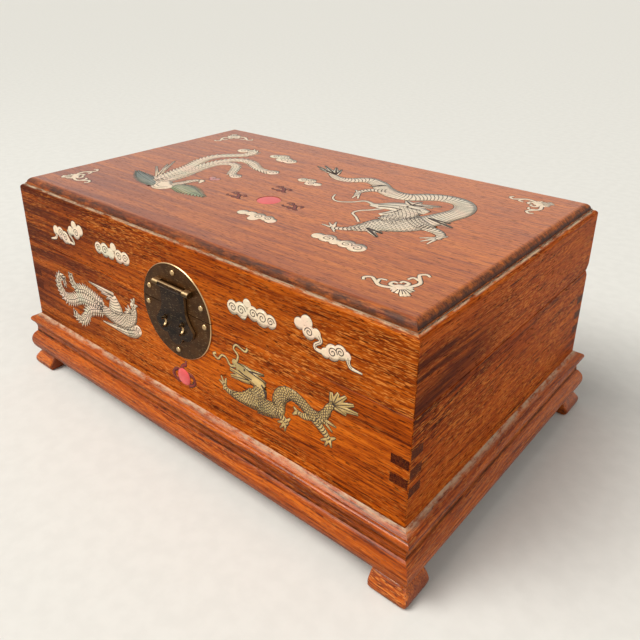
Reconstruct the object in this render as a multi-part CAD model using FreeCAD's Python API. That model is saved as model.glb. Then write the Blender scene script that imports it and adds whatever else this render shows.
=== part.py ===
import FreeCAD, Part
import math
import os
from FreeCAD import Vector

# A hinged hardwood box on a moulded plinth and bracket feet, inlaid with mother-of-pearl.
# Millimetres. The box stands on z = 0 with the middle of its footprint at the origin,
# its front towards -Y and its hinges towards +Y.

# Case, lid and plinth
case_width = 360.0
case_depth = 231.0
case_height = 68.3
lid_height = 44.5
wall = 11.5
arris = 0.5
lid_round = 3.0
plinth_height = 34.0
foot_height = 13.0

# Corner joint: a band of fingers in the middle of the mitre
finger_count = 5
finger_height = 6.0

# Bottom panel, let into the boards
bottom_thick = 6.0
bottom_rise = 5.0
groove_depth = 5.0
groove_play = 0.4

# Raised top panel with its moulded edge and the tongue that locates it in the lid
top_rise = 5.2
top_inset = 3.2
top_lip = 0.9
top_quirk = 0.8
top_edge_width = 5.5
tongue_depth = 4.0
tongue_play = 0.4

# Plinth moulding: ledge, nose, cove and half-round, measured outwards from the boards
ledge_drop = 2.4
nose_out = 7.0
nose_round = 2.6
cove_out = 4.0
quirk_drop = 16.5
quirk_height = 1.0
torus_out = 8.4
torus_foot_out = 5.0

# Bracket feet
foot_out = 9.0
foot_top_out = 3.0
foot_base_out = 8.0
foot_nose_height = 4.8
foot_swell = 0.4
foot_tuck = 0.3
foot_thick = 15.0
foot_length = 26.0

# Butt hinges let into the seam, with bevelled back edges that stop the lid
hinge_from_end = 70.0
hinge_length = 40.0
hinge_inset = 4.0
knuckle_radius = 2.2
hinge_pin_radius = 1.0
pin_fit = 0.05
leaf_thick = 1.0
leaf_land = 1.0
leaf_gap = 0.2
knuckle_gap = 0.3
barrel_clear = 0.4
lid_stop_angle = 106.0
hinge_nail_spread = 13.0
hinge_nail_half = 0.9
hinge_nail_length = 8.0

# Round lock plate, split at the seam
lock_off_centre = 4.0
lock_drop = 2.7
plate_radius = 33.0
plate_thick = 1.0
plate_edge = 0.4
seam_relief = 0.25

# Drop hasp on its pin, and the bracket that carries the pin
hasp_rise = 17.8
hasp_thick = 1.6
hasp_gap = 0.4
hasp_neck = 11.5
hasp_shoulder = 3.0
hasp_flare = 18.3
hasp_waist = 7.1
hasp_tip_clear = 3.1
hasp_hollow = 0.85
hasp_lobe_swell = 3.4
hasp_chin_swell = 1.7
hasp_knuckle_radius = 1.9
hasp_knuckle_clear = 0.3
hasp_pin_radius = 0.9
bracket_length = 5.5

# Staples that come through the hasp
staple_apart = 17.0
staple_drop = 8.4
staple_half = 0.8
staple_bend = 3.2
staple_leg = 3.8
staple_root = 7.0
slot_side = 0.6
slot_end = 0.9
slot_land = 3.15

# Nails that hold the plate
nail_head_radius = 1.9
nail_crown_radius = 1.0
nail_head_height = 1.1
nail_half = 0.7
nail_length = 7.0
nail_edge = 5.5
upper_nail_angle = 24.0
lower_nail_angle = -2.0

# Inlay; its drawings are in millimetres on fields of the drawn sizes, and scale with the boards
inlay_depth = 1.2
glue_line = 0.2
pearl_sides = 24
drawn_width = 360.0
drawn_depth = 231.0
drawn_case_height = 68.3
drawn_lid_height = 44.5
phoenix_lift = 1.85
dragon_lift = 4.85
pearl_drop = 16.85
pearl_right = 2.0
cloud_row = 19.5
inner_cloud_out = 67.0
left_cloud_in = 59.0
right_cloud_in = 54.5
spray_inset = 31.0

z_case = foot_height + plinth_height
z_seam = z_case + case_height
z_lid = z_seam + lid_height
z_top = z_lid + top_rise
y_front = -case_depth / 2
y_hinge = case_depth / 2 - hinge_inset
z_lock = z_seam - lock_drop
y_plate = y_front - plate_thick
y_hasp = y_plate - hasp_knuckle_radius - hasp_knuckle_clear
z_hasp = z_lock + hasp_rise
leaf_width = wall - hinge_inset - leaf_land
hinge_nail_back = (knuckle_radius + barrel_clear + leaf_width) / 2
nail_ring = plate_radius - nail_edge
hasp_tip_drop = nail_ring - nail_head_radius - hasp_tip_clear
hasp_waist_drop = staple_drop + staple_bend + staple_half + slot_end + slot_land
front_scale = min(case_width / drawn_width, case_height / drawn_case_height)
cloud_scale = min(case_width / drawn_width, lid_height / drawn_lid_height)
top_scale = min(case_width / drawn_width, case_depth / drawn_depth)

origin = Vector(0, 0, 0)
x_axis = Vector(1, 0, 0)
y_axis = Vector(0, 1, 0)
z_axis = Vector(0, 0, 1)
side_turn = {"front": 0, "right": 90, "back": 180, "left": -90}


def line(a, b):
    return Part.LineSegment(a, b).toShape()


def arc(a, middle, b):
    return Part.Arc(a, middle, b).toShape()


def bow(a, b, swell):
    # An arc in the XY plane that stands off the straight line from a to b, to the left of its way.
    along = b - a
    along.normalize()
    return arc(a, (a + b) * 0.5 + Vector(-along.y, along.x, 0) * swell, b)


def box(x0, x1, y0, y1, z0, z1):
    return Part.makeBox(x1 - x0, y1 - y0, z1 - z0, Vector(x0, y0, z0))


def rod_x(x0, x1, y, z, radius):
    return Part.makeCylinder(radius, x1 - x0, Vector(x0, y, z), x_axis)


def closed_face(points):
    return Part.Face(Part.makePolygon(points + points[:1]))


def union(shapes):
    if len(shapes) == 1:
        return shapes[0]
    return shapes[0].multiFuse(shapes[1:]).removeSplitter()


def out_point(out, z):
    # A point of a moulding's section: out is measured outwards from the boards' face.
    return Vector(0, -out, z)


def frame_side(section, side):
    # One mitred side of a frame around the case, with the given section.
    along, across = case_width, case_depth
    if side in ("left", "right"):
        along, across = case_depth, case_width
    reach = wall + foot_out + foot_thick
    prism = section.translated(Vector(-along / 2 - reach, -across / 2, 0))
    prism = prism.extrude(Vector(along + 2 * reach, 0, 0))
    wedge = closed_face([
        Vector(-along / 2 - reach, -across / 2 - reach, 0),
        Vector(along / 2 + reach, -across / 2 - reach, 0),
        Vector(along / 2 - reach, -across / 2 + reach, 0),
        Vector(-along / 2 + reach, -across / 2 + reach, 0),
    ]).extrude(Vector(0, 0, z_top))
    solid = prism.common(wedge)
    solid.rotate(origin, z_axis, side_turn[side])
    return solid


def corner_signs():
    return [(sx, sy) for sx in (-1, 1) for sy in (-1, 1)]


def corner_chamfers():
    # Triangular strips that soften the four upright corners.
    strips = []
    for sx, sy in corner_signs():
        x, y = sx * case_width / 2, sy * case_depth / 2
        face = closed_face([
            Vector(x, y, z_case), Vector(x - sx * arris, y, z_case), Vector(x, y - sy * arris, z_case)])
        strips.append(face.extrude(Vector(0, 0, z_lid - z_case)))
    return strips


def back_bevels():
    # Wedges cut from the back edges at the seam, from the hinge axis outwards.
    past = hinge_inset + 1.0
    rise = past * math.tan(math.radians(lid_stop_angle / 2))
    axis = Vector(-case_width, y_hinge, z_seam)
    level = axis + Vector(0, past, 0)
    run = Vector(2 * case_width, 0, 0)
    lower = closed_face([axis, level, level - Vector(0, 0, rise)]).extrude(run)
    upper = closed_face([axis, level, level + Vector(0, 0, rise)]).extrude(run)
    return lower, upper


def finger_blocks(row):
    z0 = z_case + (case_height - finger_count * finger_height) / 2 + row * finger_height
    blocks = []
    for sx, sy in corner_signs():
        x, y = sx * case_width / 2, sy * case_depth / 2
        x0, x1 = sorted((x, x - sx * wall))
        y0, y1 = sorted((y, y - sy * wall))
        blocks.append(box(x0, x1, y0, y1, z0, z0 + finger_height))
    return blocks


def on_side(blocks, side):
    # The corner blocks at the two ends of one board.
    turned = {"front": -y_axis, "back": y_axis, "left": -x_axis, "right": x_axis}[side]
    return [b for b in blocks if b.CenterOfMass.dot(turned) > 0]


def bottom_panel(play):
    half_x = case_width / 2 - wall + groove_depth - groove_play + play
    half_y = case_depth / 2 - wall + groove_depth - groove_play + play
    z0 = z_case + bottom_rise
    return box(-half_x, half_x, -half_y, half_y, z0, z0 + bottom_thick)


def case_board(side):
    section = closed_face([
        out_point(-wall, z_case), out_point(0, z_case), out_point(0, z_seam - arris),
        out_point(-arris, z_seam), out_point(-wall, z_seam)])
    board = frame_side(section, side)
    own = 0 if side in ("front", "back") else 1
    for row in range(finger_count):
        blocks = on_side(finger_blocks(row), side)
        if row % 2 == own:
            board = board.multiFuse(blocks)
        else:
            board = board.cut(blocks)
    board = board.removeSplitter()
    return board.cut([bottom_panel(groove_play), back_bevels()[0]] + corner_chamfers())


def lid_board(side):
    lean = lid_round * (1 - math.sqrt(0.5))
    corner = [
        out_point(-wall, z_lid), out_point(-wall, z_seam), out_point(-arris, z_seam),
        out_point(0, z_seam + arris), out_point(0, z_lid - lid_round), out_point(-lid_round, z_lid)]
    edges = [line(corner[i], corner[i + 1]) for i in range(4)]
    edges.append(arc(corner[4], out_point(-lean, z_lid - lean), corner[5]))
    edges.append(line(corner[5], corner[0]))
    board = frame_side(Part.Face(Part.Wire(edges)), side)
    return board.cut([back_bevels()[1]] + corner_chamfers())


def panel_prism(half, run):
    # The top panel's section across one direction, drawn in the XZ plane.
    z_edge = z_lid + top_lip
    foot = half - top_quirk
    crown = foot - top_edge_width
    fall = z_top - z_edge
    bulge = math.sqrt(0.5)
    middle = Vector(crown + top_edge_width * bulge, 0, z_edge + fall * bulge)
    right = [Vector(half, 0, z_lid), Vector(half, 0, z_edge), Vector(foot, 0, z_edge)]
    right.append(Vector(crown, 0, z_top))
    left = [Vector(-p.x, 0, p.z) for p in right]
    edges = [
        line(left[0], right[0]), line(right[0], right[1]), line(right[1], right[2]),
        arc(right[2], middle, right[3]), line(right[3], left[3]),
        arc(left[3], Vector(-middle.x, 0, middle.z), left[2]), line(left[2], left[1]), line(left[1], left[0])]
    face = Part.Face(Part.Wire(edges)).translated(Vector(0, -run, 0))
    return face.extrude(Vector(0, 2 * run, 0))


def lid_top():
    half_x = case_width / 2 - top_inset
    half_y = case_depth / 2 - top_inset
    across = panel_prism(half_y, half_x)
    across.rotate(origin, z_axis, 90)
    panel = panel_prism(half_x, half_y).common(across)
    in_x = case_width / 2 - wall - tongue_play
    in_y = case_depth / 2 - wall - tongue_play
    tongue = box(-in_x, in_x, -in_y, in_y, z_lid - tongue_depth, z_lid)
    return union([panel, tongue])


def plinth_side(side):
    nose_top = out_point(nose_out - nose_round, z_case - ledge_drop)
    nose_front = out_point(nose_out, z_case - ledge_drop - nose_round)
    nose_under = out_point(nose_out - nose_round / 2, z_case - ledge_drop - 2 * nose_round)
    cove_end = out_point(cove_out, z_case - quirk_drop + quirk_height)
    cove_middle = (nose_under + cove_end) * 0.5 + Vector(0, (nose_out - cove_out) / 3, 0)
    torus_top = out_point(cove_out, z_case - quirk_drop)
    torus_middle = out_point(torus_out, z_case - (quirk_drop + plinth_height) / 2)
    torus_end = out_point(torus_foot_out, foot_height)
    inner_low = out_point(-wall, foot_height)
    inner_high = out_point(-wall, z_case)
    edges = [
        line(inner_high, out_point(0, z_case)), line(out_point(0, z_case), nose_top),
        arc(nose_top, nose_front, nose_under), arc(nose_under, cove_middle, cove_end),
        line(cove_end, torus_top), arc(torus_top, torus_middle, torus_end),
        line(torus_end, inner_low), line(inner_low, inner_high)]
    return frame_side(Part.Face(Part.Wire(edges)), side)


def foot_section():
    top = out_point(foot_top_out, foot_height)
    nose = out_point(foot_out, foot_nose_height)
    base = out_point(foot_base_out, 0)
    swell = out_point((foot_top_out + foot_out) / 2 + foot_swell, (foot_height + foot_nose_height) / 2)
    tuck = out_point((foot_out + foot_base_out) / 2 + foot_tuck, foot_nose_height / 2)
    inner_low = out_point(foot_out - foot_thick, 0)
    inner_high = out_point(foot_out - foot_thick, foot_height)
    edges = [
        arc(top, swell, nose), arc(nose, tuck, base), line(base, inner_low),
        line(inner_low, inner_high), line(inner_high, top)]
    return Part.Face(Part.Wire(edges))


def foot(sx, sy):
    x, y = sx * (case_width / 2 + foot_out), sy * (case_depth / 2 + foot_out)
    x0, x1 = sorted((x, x - sx * foot_length))
    y0, y1 = sorted((y, y - sy * foot_length))
    corner = box(x0, x1, y0, y1, 0, foot_height)
    legs = [frame_side(foot_section(), side).common(corner)
            for side in ("front" if sy < 0 else "back", "left" if sx < 0 else "right")]
    return union(legs)


def hinge_spans(x):
    # The three knuckles of one hinge, along X.
    start = x - hinge_length / 2
    third = hinge_length / 3
    return [(start + k * third, start + (k + 1) * third) for k in range(3)]


def hinge_leaf(x, rise):
    # rise is 1 for the lid's leaf and -1 for the case's leaf.
    own = (1,) if rise > 0 else (0, 2)
    z0, z1 = sorted((z_seam + rise * leaf_gap / 2, z_seam + rise * (leaf_gap / 2 + leaf_thick)))
    half = hinge_length / 2
    pieces = [box(x - half, x + half, y_hinge - leaf_width, y_hinge, z0, z1)]
    clear = []
    for k, (a, b) in enumerate(hinge_spans(x)):
        if k in own:
            pieces.append(rod_x(a, b, y_hinge, z_seam, knuckle_radius))
        else:
            clear.append(rod_x(a - knuckle_gap, b + knuckle_gap, y_hinge, z_seam,
                               knuckle_radius + barrel_clear))
    clear.append(rod_x(x - half - 1, x + half + 1, y_hinge, z_seam, hinge_pin_radius + pin_fit))
    return union(pieces).cut(clear + hinge_nails(x, rise))


def hinge_nails(x, rise):
    # Two square nails filed flush with one leaf, driven into the board.
    y = y_hinge - hinge_nail_back
    start = z_seam + rise * leaf_gap / 2
    z0, z1 = sorted((start, start + rise * hinge_nail_length))
    return [box(u - hinge_nail_half, u + hinge_nail_half, y - hinge_nail_half, y + hinge_nail_half, z0, z1)
            for u in (x - hinge_nail_spread, x + hinge_nail_spread)]


def hinge_mortise(x, rise):
    # Room for one leaf, its nails and the barrel in the edge of a back board.
    z0, z1 = sorted((z_seam, z_seam + rise * (leaf_gap / 2 + leaf_thick)))
    half = hinge_length / 2
    tools = [box(x - half, x + half, y_hinge - leaf_width, y_hinge, z0, z1)]
    tools.append(rod_x(x - half - knuckle_gap, x + half + knuckle_gap, y_hinge, z_seam,
                       knuckle_radius + barrel_clear))
    return tools + hinge_nails(x, rise)


def to_front(shape, x, z, y=y_front):
    # Stands a shape drawn flat (u, v, outwards) on the front, at x and z.
    stood = shape.copy()
    stood.rotate(origin, x_axis, 90)
    stood.translate(Vector(x, y, z))
    return stood


def to_top(shape, x, y):
    return shape.translated(Vector(x, y, z_top))


def lock_plates():
    disc = Part.makeCylinder(plate_radius, plate_thick)
    rim = [e for e in disc.Edges if len(e.Vertexes) == 1 and e.CenterOfMass.z > plate_thick / 2]
    disc = to_front(disc.makeChamfer(plate_edge, rim), lock_off_centre, z_lock)
    reach = 2 * plate_radius
    room = (lock_off_centre - reach, lock_off_centre + reach, y_front - reach, y_front)
    upper = disc.common(box(*room, z_seam + seam_relief, z_seam + reach))
    lower = disc.common(box(*room, z_seam - 2 * reach, z_seam - seam_relief))
    return upper, lower


def nail_spots():
    # Three nails in each half of the plate: (x, z) from the plate's centre.
    def spot(angle):
        return nail_ring * math.cos(math.radians(angle)), nail_ring * math.sin(math.radians(angle))
    upper = [spot(a) for a in (upper_nail_angle, 90, 180 - upper_nail_angle)]
    lower = [spot(a) for a in (lower_nail_angle, -90, 180 - lower_nail_angle)]
    return upper, lower


def nail(u, v):
    # A bevelled round head on a square shank.
    cap = Part.makeCone(nail_head_radius, nail_crown_radius, nail_head_height)
    shank = box(-nail_half, nail_half, -nail_half, nail_half, -nail_length, 0)
    return to_front(union([cap, shank]), lock_off_centre + u, z_lock + v, y_plate)


def staple(side):
    # An eye bent from square wire in an upright plane: two legs and a half round bend.
    low = Vector(0, -staple_bend, -staple_root)
    high = Vector(0, staple_bend, -staple_root)
    low_out = Vector(0, -staple_bend, staple_leg)
    high_out = Vector(0, staple_bend, staple_leg)
    path = Part.Wire([
        line(low, low_out), arc(low_out, Vector(0, 0, staple_leg + staple_bend), high_out),
        line(high_out, high)])
    corners = [Vector(-1, -1, 0), Vector(1, -1, 0), Vector(1, 1, 0), Vector(-1, 1, 0), Vector(-1, -1, 0)]
    section = Part.makePolygon([low + c * staple_half for c in corners])
    eye = path.makePipeShell([section], True, False)
    return to_front(eye, lock_off_centre + side * staple_apart / 2, z_lock - staple_drop, y_plate)


def staple_holes():
    holes = []
    for side in (-1, 1):
        for leg in (-1, 1):
            hole = box(-staple_half, staple_half, -staple_half, staple_half, -staple_root, 0)
            holes.append(to_front(hole, lock_off_centre + side * staple_apart / 2,
                                  z_lock - staple_drop + leg * staple_bend, y_plate))
    return holes


def slot_prism(side):
    # The slot in the hasp that one staple comes through.
    half = staple_half + slot_side
    run = staple_bend + staple_half + slot_end - half
    u, v = side * staple_apart / 2, -staple_drop
    middle = box(u - half, u + half, v - run, v + run, 0, 2 * hasp_thick)
    ends = [Part.makeCylinder(half, 2 * hasp_thick, Vector(u, v + s * run, 0)) for s in (-1, 1)]
    return union([middle] + ends)


def hasp():
    # Outline of the right half, from the neck down to the tip; the left half mirrors it.
    neck = Vector(hasp_neck, hasp_rise, 0)
    shoulder = Vector(hasp_neck, hasp_shoulder, 0)
    flare = Vector(hasp_flare, -staple_drop, 0)
    waist = Vector(hasp_waist, -hasp_waist_drop, 0)
    tip = Vector(0, -hasp_tip_drop, 0)
    right = [line(neck, shoulder), bow(shoulder, flare, -hasp_hollow), bow(flare, waist, hasp_lobe_swell),
             bow(waist, tip, hasp_chin_swell)]
    half = Part.Wire(right + [line(tip, Vector(0, hasp_rise, 0)), line(Vector(0, hasp_rise, 0), neck)])
    right_half = Part.Face(half).extrude(Vector(0, 0, hasp_thick))
    plate = union([right_half, right_half.mirror(origin, x_axis)])
    plate = plate.cut([slot_prism(side) for side in (-1, 1)])
    plate = to_front(plate, lock_off_centre, z_lock, y_plate - hasp_gap)
    barrel = rod_x(lock_off_centre - hasp_neck, lock_off_centre + hasp_neck, y_hasp, z_hasp,
                   hasp_knuckle_radius)
    bore = rod_x(lock_off_centre - 2 * hasp_neck, lock_off_centre + 2 * hasp_neck, y_hasp, z_hasp,
                 hasp_pin_radius + pin_fit)
    return union([plate, barrel]).cut(bore)


def hasp_bracket():
    # Two knuckles on the upper plate, one at each end of the hasp's own knuckle.
    ears = []
    for side in (-1, 1):
        start = side * (hasp_neck + knuckle_gap)
        a, b = sorted((lock_off_centre + start, lock_off_centre + start + side * bracket_length))
        pad = box(a, b, y_hasp, y_plate, z_hasp - hasp_knuckle_radius, z_hasp + hasp_knuckle_radius)
        ear = union([rod_x(a, b, y_hasp, z_hasp, hasp_knuckle_radius), pad])
        ears.append(ear.cut(rod_x(a - 1, b + 1, y_hasp, z_hasp, hasp_pin_radius)))
    return Part.makeCompound(ears)


def hasp_pin():
    half = hasp_neck + knuckle_gap + bracket_length
    return rod_x(lock_off_centre - half, lock_off_centre + half, y_hasp, z_hasp, hasp_pin_radius)


def lobe(u, v, radius, margin, sides=10):
    # A round spot cut with a fret saw, in short straight strokes.
    turns = [2 * math.pi * k / sides for k in range(sides)]
    reach = radius + margin
    return closed_face([Vector(u + reach * math.cos(t), v + reach * math.sin(t), 0) for t in turns])


def ribbon(points, half_widths, margin, steps=1, notch=0.0):
    # A band along a smooth spine, its half width going evenly from point to point.
    # notch draws every other step in, which gives a feathered edge.
    spots = [Vector(u, v, 0) for u, v in points]
    spine = Part.BSplineCurve()
    spine.interpolate(spots)
    stops = [spine.parameter(p) for p in spots]
    left, right = [], []
    count = steps * (len(spots) - 1)
    for i in range(count + 1):
        span = min(i // steps, len(spots) - 2)
        share = i / steps - span
        at = stops[span] + share * (stops[span + 1] - stops[span])
        half = half_widths[span] + share * (half_widths[span + 1] - half_widths[span])
        half = half * (1 - notch * (i % 2)) + margin
        along = spine.tangent(at)[0]
        aside = Vector(-along.y, along.x, 0) * half
        spot = spine.value(at) + along * (margin * ((i == count) - (i == 0)))
        left.append(spot + aside)
        right.append(spot - aside)
    return closed_face(left + right[::-1])


def fan(root, tips, root_half, tip_half, margin):
    # Straight tapering feathers, petals or claws from one root.
    return [ribbon([root, tip], [root_half, tip_half], margin) for tip in tips]


def lobes(spots, margin):
    return [lobe(u, v, r, margin) for u, v, r in spots]


def inlay_prism(drawing, scale, margin):
    faces = [face.scaled(scale, origin) for face in drawing(margin / scale)]
    return union([face.extrude(Vector(0, 0, -inlay_depth)) for face in faces])


def front_phoenix(m):
    tail = [
        ribbon([(8, 3), (-4, 7), (-16, 9), (-26, 7), (-32, 11), (-33, 18)],
               [4, 4, 4, 3.4, 3.2, 3], m, 2, 0.25),
        ribbon([(8, 2), (-10, 2), (-24, 0), (-34, -5), (-44, -7), (-51, -2), (-53, 5), (-49, 11), (-43, 10)],
               [4, 4.5, 4.5, 4.5, 4.5, 4, 3.4, 3.2, 2.2], m, 2, 0.25),
        ribbon([(-46, 11), (-43.8, 8.5), (-43.4, 4.5)], [2.4, 2.4, 1.6], m),
        ribbon([(6, 0), (-7, -4), (-15, -9), (-19, -16), (-26, -20.5), (-34, -18), (-34, -14)],
               [4, 4, 4, 4, 3.6, 3, 1.6], m, 2, 0.25),
    ]
    body = ribbon([(2, 2), (13, 0), (25, -1), (36, 1), (43, 6), (46, 12), (45.5, 16)],
                  [4, 4.6, 6.4, 6, 4.6, 3.2, 2.6], m)
    head = [lobe(45.3, 16.4, 3, m)] + fan((45.5, 17), [(51, 18.4)], 1.6, 0.3, m)
    head += fan((46, 18), [(47.5, 23.2), (44, 21.5)], 1.1, 0.7, m)
    mane = fan((42, 9), [(34, 8), (35.5, 12), (39, 15.5)], 2.2, 0.4, m)
    far_wing = [ribbon([(24, 3), (23.5, 9), (22, 17)], [9, 7.5, 3], m)]
    far_wing += fan((23, 17), [(-8, 18.6), (2, 16.4), (7, 14.4), (13, 11.4)], 2.4, 0.35, m)
    near_wing = [ribbon([(49, -1.5), (43, -4.5), (34, -7.5), (22, -8.7), (5, -9.6)],
                        [3.8, 4.8, 3.4, 1.9, 0.4], m), lobe(48.4, -1.6, 4.1, m)]
    return tail + [body] + head + mane + far_wing + near_wing


def claw(root, tips, m):
    return fan(root, tips, 1.3, 0.35, m)


def front_dragon(m):
    body = ribbon([(-16, -10.5), (-6, -10), (1, -7), (2, 0), (5.5, 5.5), (12, 8), (19, 6), (25, 2.5),
                   (31, 1.5), (35.5, 6), (38.5, 12), (42, 16)],
                  [7.2, 5.4, 4.8, 4.8, 4.6, 3.8, 3.6, 3.7, 3.8, 2.7, 2.1, 1.5], m, 2)
    neck = ribbon([(-13, 2), (-14, -4), (-18, -9), (-28, -13), (-39, -14)], [5, 5.5, 7.2, 4, 2], m)
    skull = [ribbon([(-33, 8), (-26, 7), (-17, 5), (-11, 1)], [2.4, 4.6, 4.8, 4.4], m), lobe(-34, 10, 2.4, m)]
    jaws = fan((-22, 2.5), [(-38.5, 4), (-38, -0.6)], 2.6, 1.0, m)
    horns = fan((-22, 9), [(-9.5, 11.4), (-8, 6.4)], 2, 0.4, m)
    whiskers = [
        ribbon([(-33, 10), (-31, 16), (-34.5, 19.5), (-32, 23), (-25, 21.2), (-22.6, 24)],
               [0.9, 0.7, 0.6, 0.6, 0.6, 0.8], m),
        ribbon([(-33, 8), (-38, 6.5), (-41.5, 10.4), (-45.4, 10.6), (-49, 6.6), (-53, 8.6), (-50.6, 10.2)],
               [0.9, 0.7, 0.6, 0.6, 0.6, 0.6, 0.8], m),
    ]
    near_leg = [ribbon([(-36, -14), (-42, -13), (-44.5, -10)], [2.4, 1.8, 1.4], m)]
    near_leg += claw((-44, -11), [(-49, -8.5), (-47, -4.6), (-42.6, -4.8), (-45.5, -14.5)], m)
    fore_leg = [ribbon([(-2, -9), (6, -12), (8, -14.5)], [3, 2, 1.6], m)]
    fore_leg += claw((7, -13), [(0.5, -16), (2.4, -19.4), (6, -19.8), (10.5, -9)], m)
    hind_leg = [ribbon([(28, 0), (34, -4.5), (39, -9)], [3, 2.4, 1.8], m)]
    hind_leg += claw((39, -8.5), [(33, -12), (36, -14.5), (40.5, -13.5), (43.4, -5.6)], m)
    far_leg = claw((33, 3), [(43.6, 1.6), (41, -2.8)], m)
    mid_leg = [ribbon([(26, 0), (20, -2.4), (15, -1.4)], [2.4, 1.8, 1.2], m)]
    mid_leg += claw((16, -1.6), [(12.4, -5), (13, 0.6)], m)
    tuft = fan((41, 15), [(39.6, 22.5), (44.5, 24), (49.5, 24), (54.5, 21), (57.5, 16.8), (50, 13)],
               1.9, 0.4, m)
    return ([body, neck] + skull + jaws + horns + whiskers + near_leg + fore_leg + hind_leg + far_leg
            + mid_leg + tuft)


def front_pearl(m):
    return [lobe(0, 0, 6.2, m, pearl_sides)]


def front_flames(m):
    left = ribbon([(-4, 4), (-8, 3), (-11, -1.6), (-7.5, -4.5), (-4, -5)], [1, 0.9, 0.9, 0.9, 1], m)
    right = ribbon([(4, 4), (9, 3.4), (11, -0.6), (7.6, -4), (4, -5)], [1, 0.9, 0.9, 0.9, 1], m)
    stem = ribbon([(-2, 5), (-0.4, 8.4), (2.6, 10.2), (3, 13.4)], [1.2, 1, 0.9, 0.5], m)
    return [left, right, stem]


def inner_left_cloud(m):
    return lobes([(-15.5, -0.8, 4.3), (-8, -0.6, 5.2), (-1, -1.5, 4.2), (2.5, 4, 3.4), (8.5, -1, 5),
                  (15.5, -0.6, 4.8)], m)


def inner_right_cloud(m):
    return lobes([(-14.5, -1, 4.6), (-7.5, -0.6, 5.2), (-2.6, 5, 3.2), (2, 0.4, 4.7), (9, 0, 5.6),
                  (15.5, 0, 4.3), (-6.4, -3.4, 2.8)], m)


def outer_left_cloud(m):
    low = lobes([(-13, -2, 4), (-7, -2.5, 4.8), (-1, -4.5, 4.8), (2.6, -6, 2.8)], m)
    high = lobes([(8, 3, 3.6), (13, 8.4, 3.3), (15, 3, 4.8), (20, 6, 4.2)], m)
    link = ribbon([(4.6, 3), (5.5, -0.6), (9.6, -4.6), (10, -6.8), (4, -6.8)], [1.6, 1.1, 1, 0.9, 1], m)
    tail = ribbon([(-13, -4), (-14.6, -8.2), (-22, -10.6)], [1.3, 1.1, 0.4], m)
    return low + high + [link, tail]


def outer_right_cloud(m):
    high = lobes([(-18, 7, 3.6), (-13, 9.6, 4), (-11.4, 4, 4.4), (-6.4, 5, 3)], m)
    low = lobes([(0, -4, 3), (4.6, -2, 4.8), (9.6, 0, 4.3), (13.6, -0.6, 2.8)], m)
    link = ribbon([(-5, 4.4), (-3.4, 1.2), (-7, -1.8), (-6.4, -4.2), (-1, -4.4)], [1.6, 1.1, 1, 1, 1.4], m)
    tail = ribbon([(14.4, -1), (15, -4.4), (17, -6.4), (23.6, -6.8)], [1.4, 1, 0.9, 0.4], m)
    return high + low + [link, tail]


def top_phoenix(m):
    tail = [
        ribbon([(0, -38), (-5, -15), (-10, 5), (-17, 22.5), (-18, 38.5), (-11.5, 49), (-2, 59), (-2, 70),
                (-10, 74)],
               [6, 6, 5, 4.4, 4, 4, 4, 4, 3], m, 2),
        ribbon([(2, -38), (1, -15.5), (-3, 8.5), (-3, 28.5), (2, 41.5), (11, 46.5), (22, 44.5), (35, 37),
                (48, 34.5)],
               [6, 6, 4.4, 4, 4, 4, 3.6, 3, 3], m, 2),
        ribbon([(4, -38), (3, -14), (0, 10), (1, 24), (8, 32), (17, 30.5), (24, 22), (30, 13), (36, 10)],
               [6, 5, 3.6, 3.2, 3.2, 3, 2.8, 2.6, 2.6], m, 2),
    ]
    ends = lobes([(-13, 69, 6), (52, 36, 5.4), (37.6, 10, 4.6)], m)
    body = [ribbon([(2, -34), (8, -38), (14, -42)], [7, 7.5, 8], m), lobe(14, -42, 8.6, m)]
    neck = [ribbon([(17, -38), (20, -27), (22, -19), (27, -15), (29.5, -20)], [4.4, 3.4, 2.8, 2.2, 0.7], m)]
    plumes = fan((-8, -30), [(-33, 8), (-30, -2), (-32, -12)], 1.5, 0.5, m)
    return tail + ends + body + neck + plumes


def top_phoenix_left_wing(m):
    return [ribbon([(8, -43), (-6, -40), (-20, -36), (-32, -31)], [7, 6.4, 4.4, 0.6], m, 3, 0.12)]


def top_phoenix_right_wing(m):
    return [ribbon([(20, -36), (32, -36), (44, -38), (56, -39.5)], [6, 7.4, 5, 0.6], m, 3, 0.12)]


def top_flower(m):
    return lobes([(-2.6, 0.8, 2.6), (2.6, 0.6, 2.6), (0, -1.8, 2.4)], m)


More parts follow.
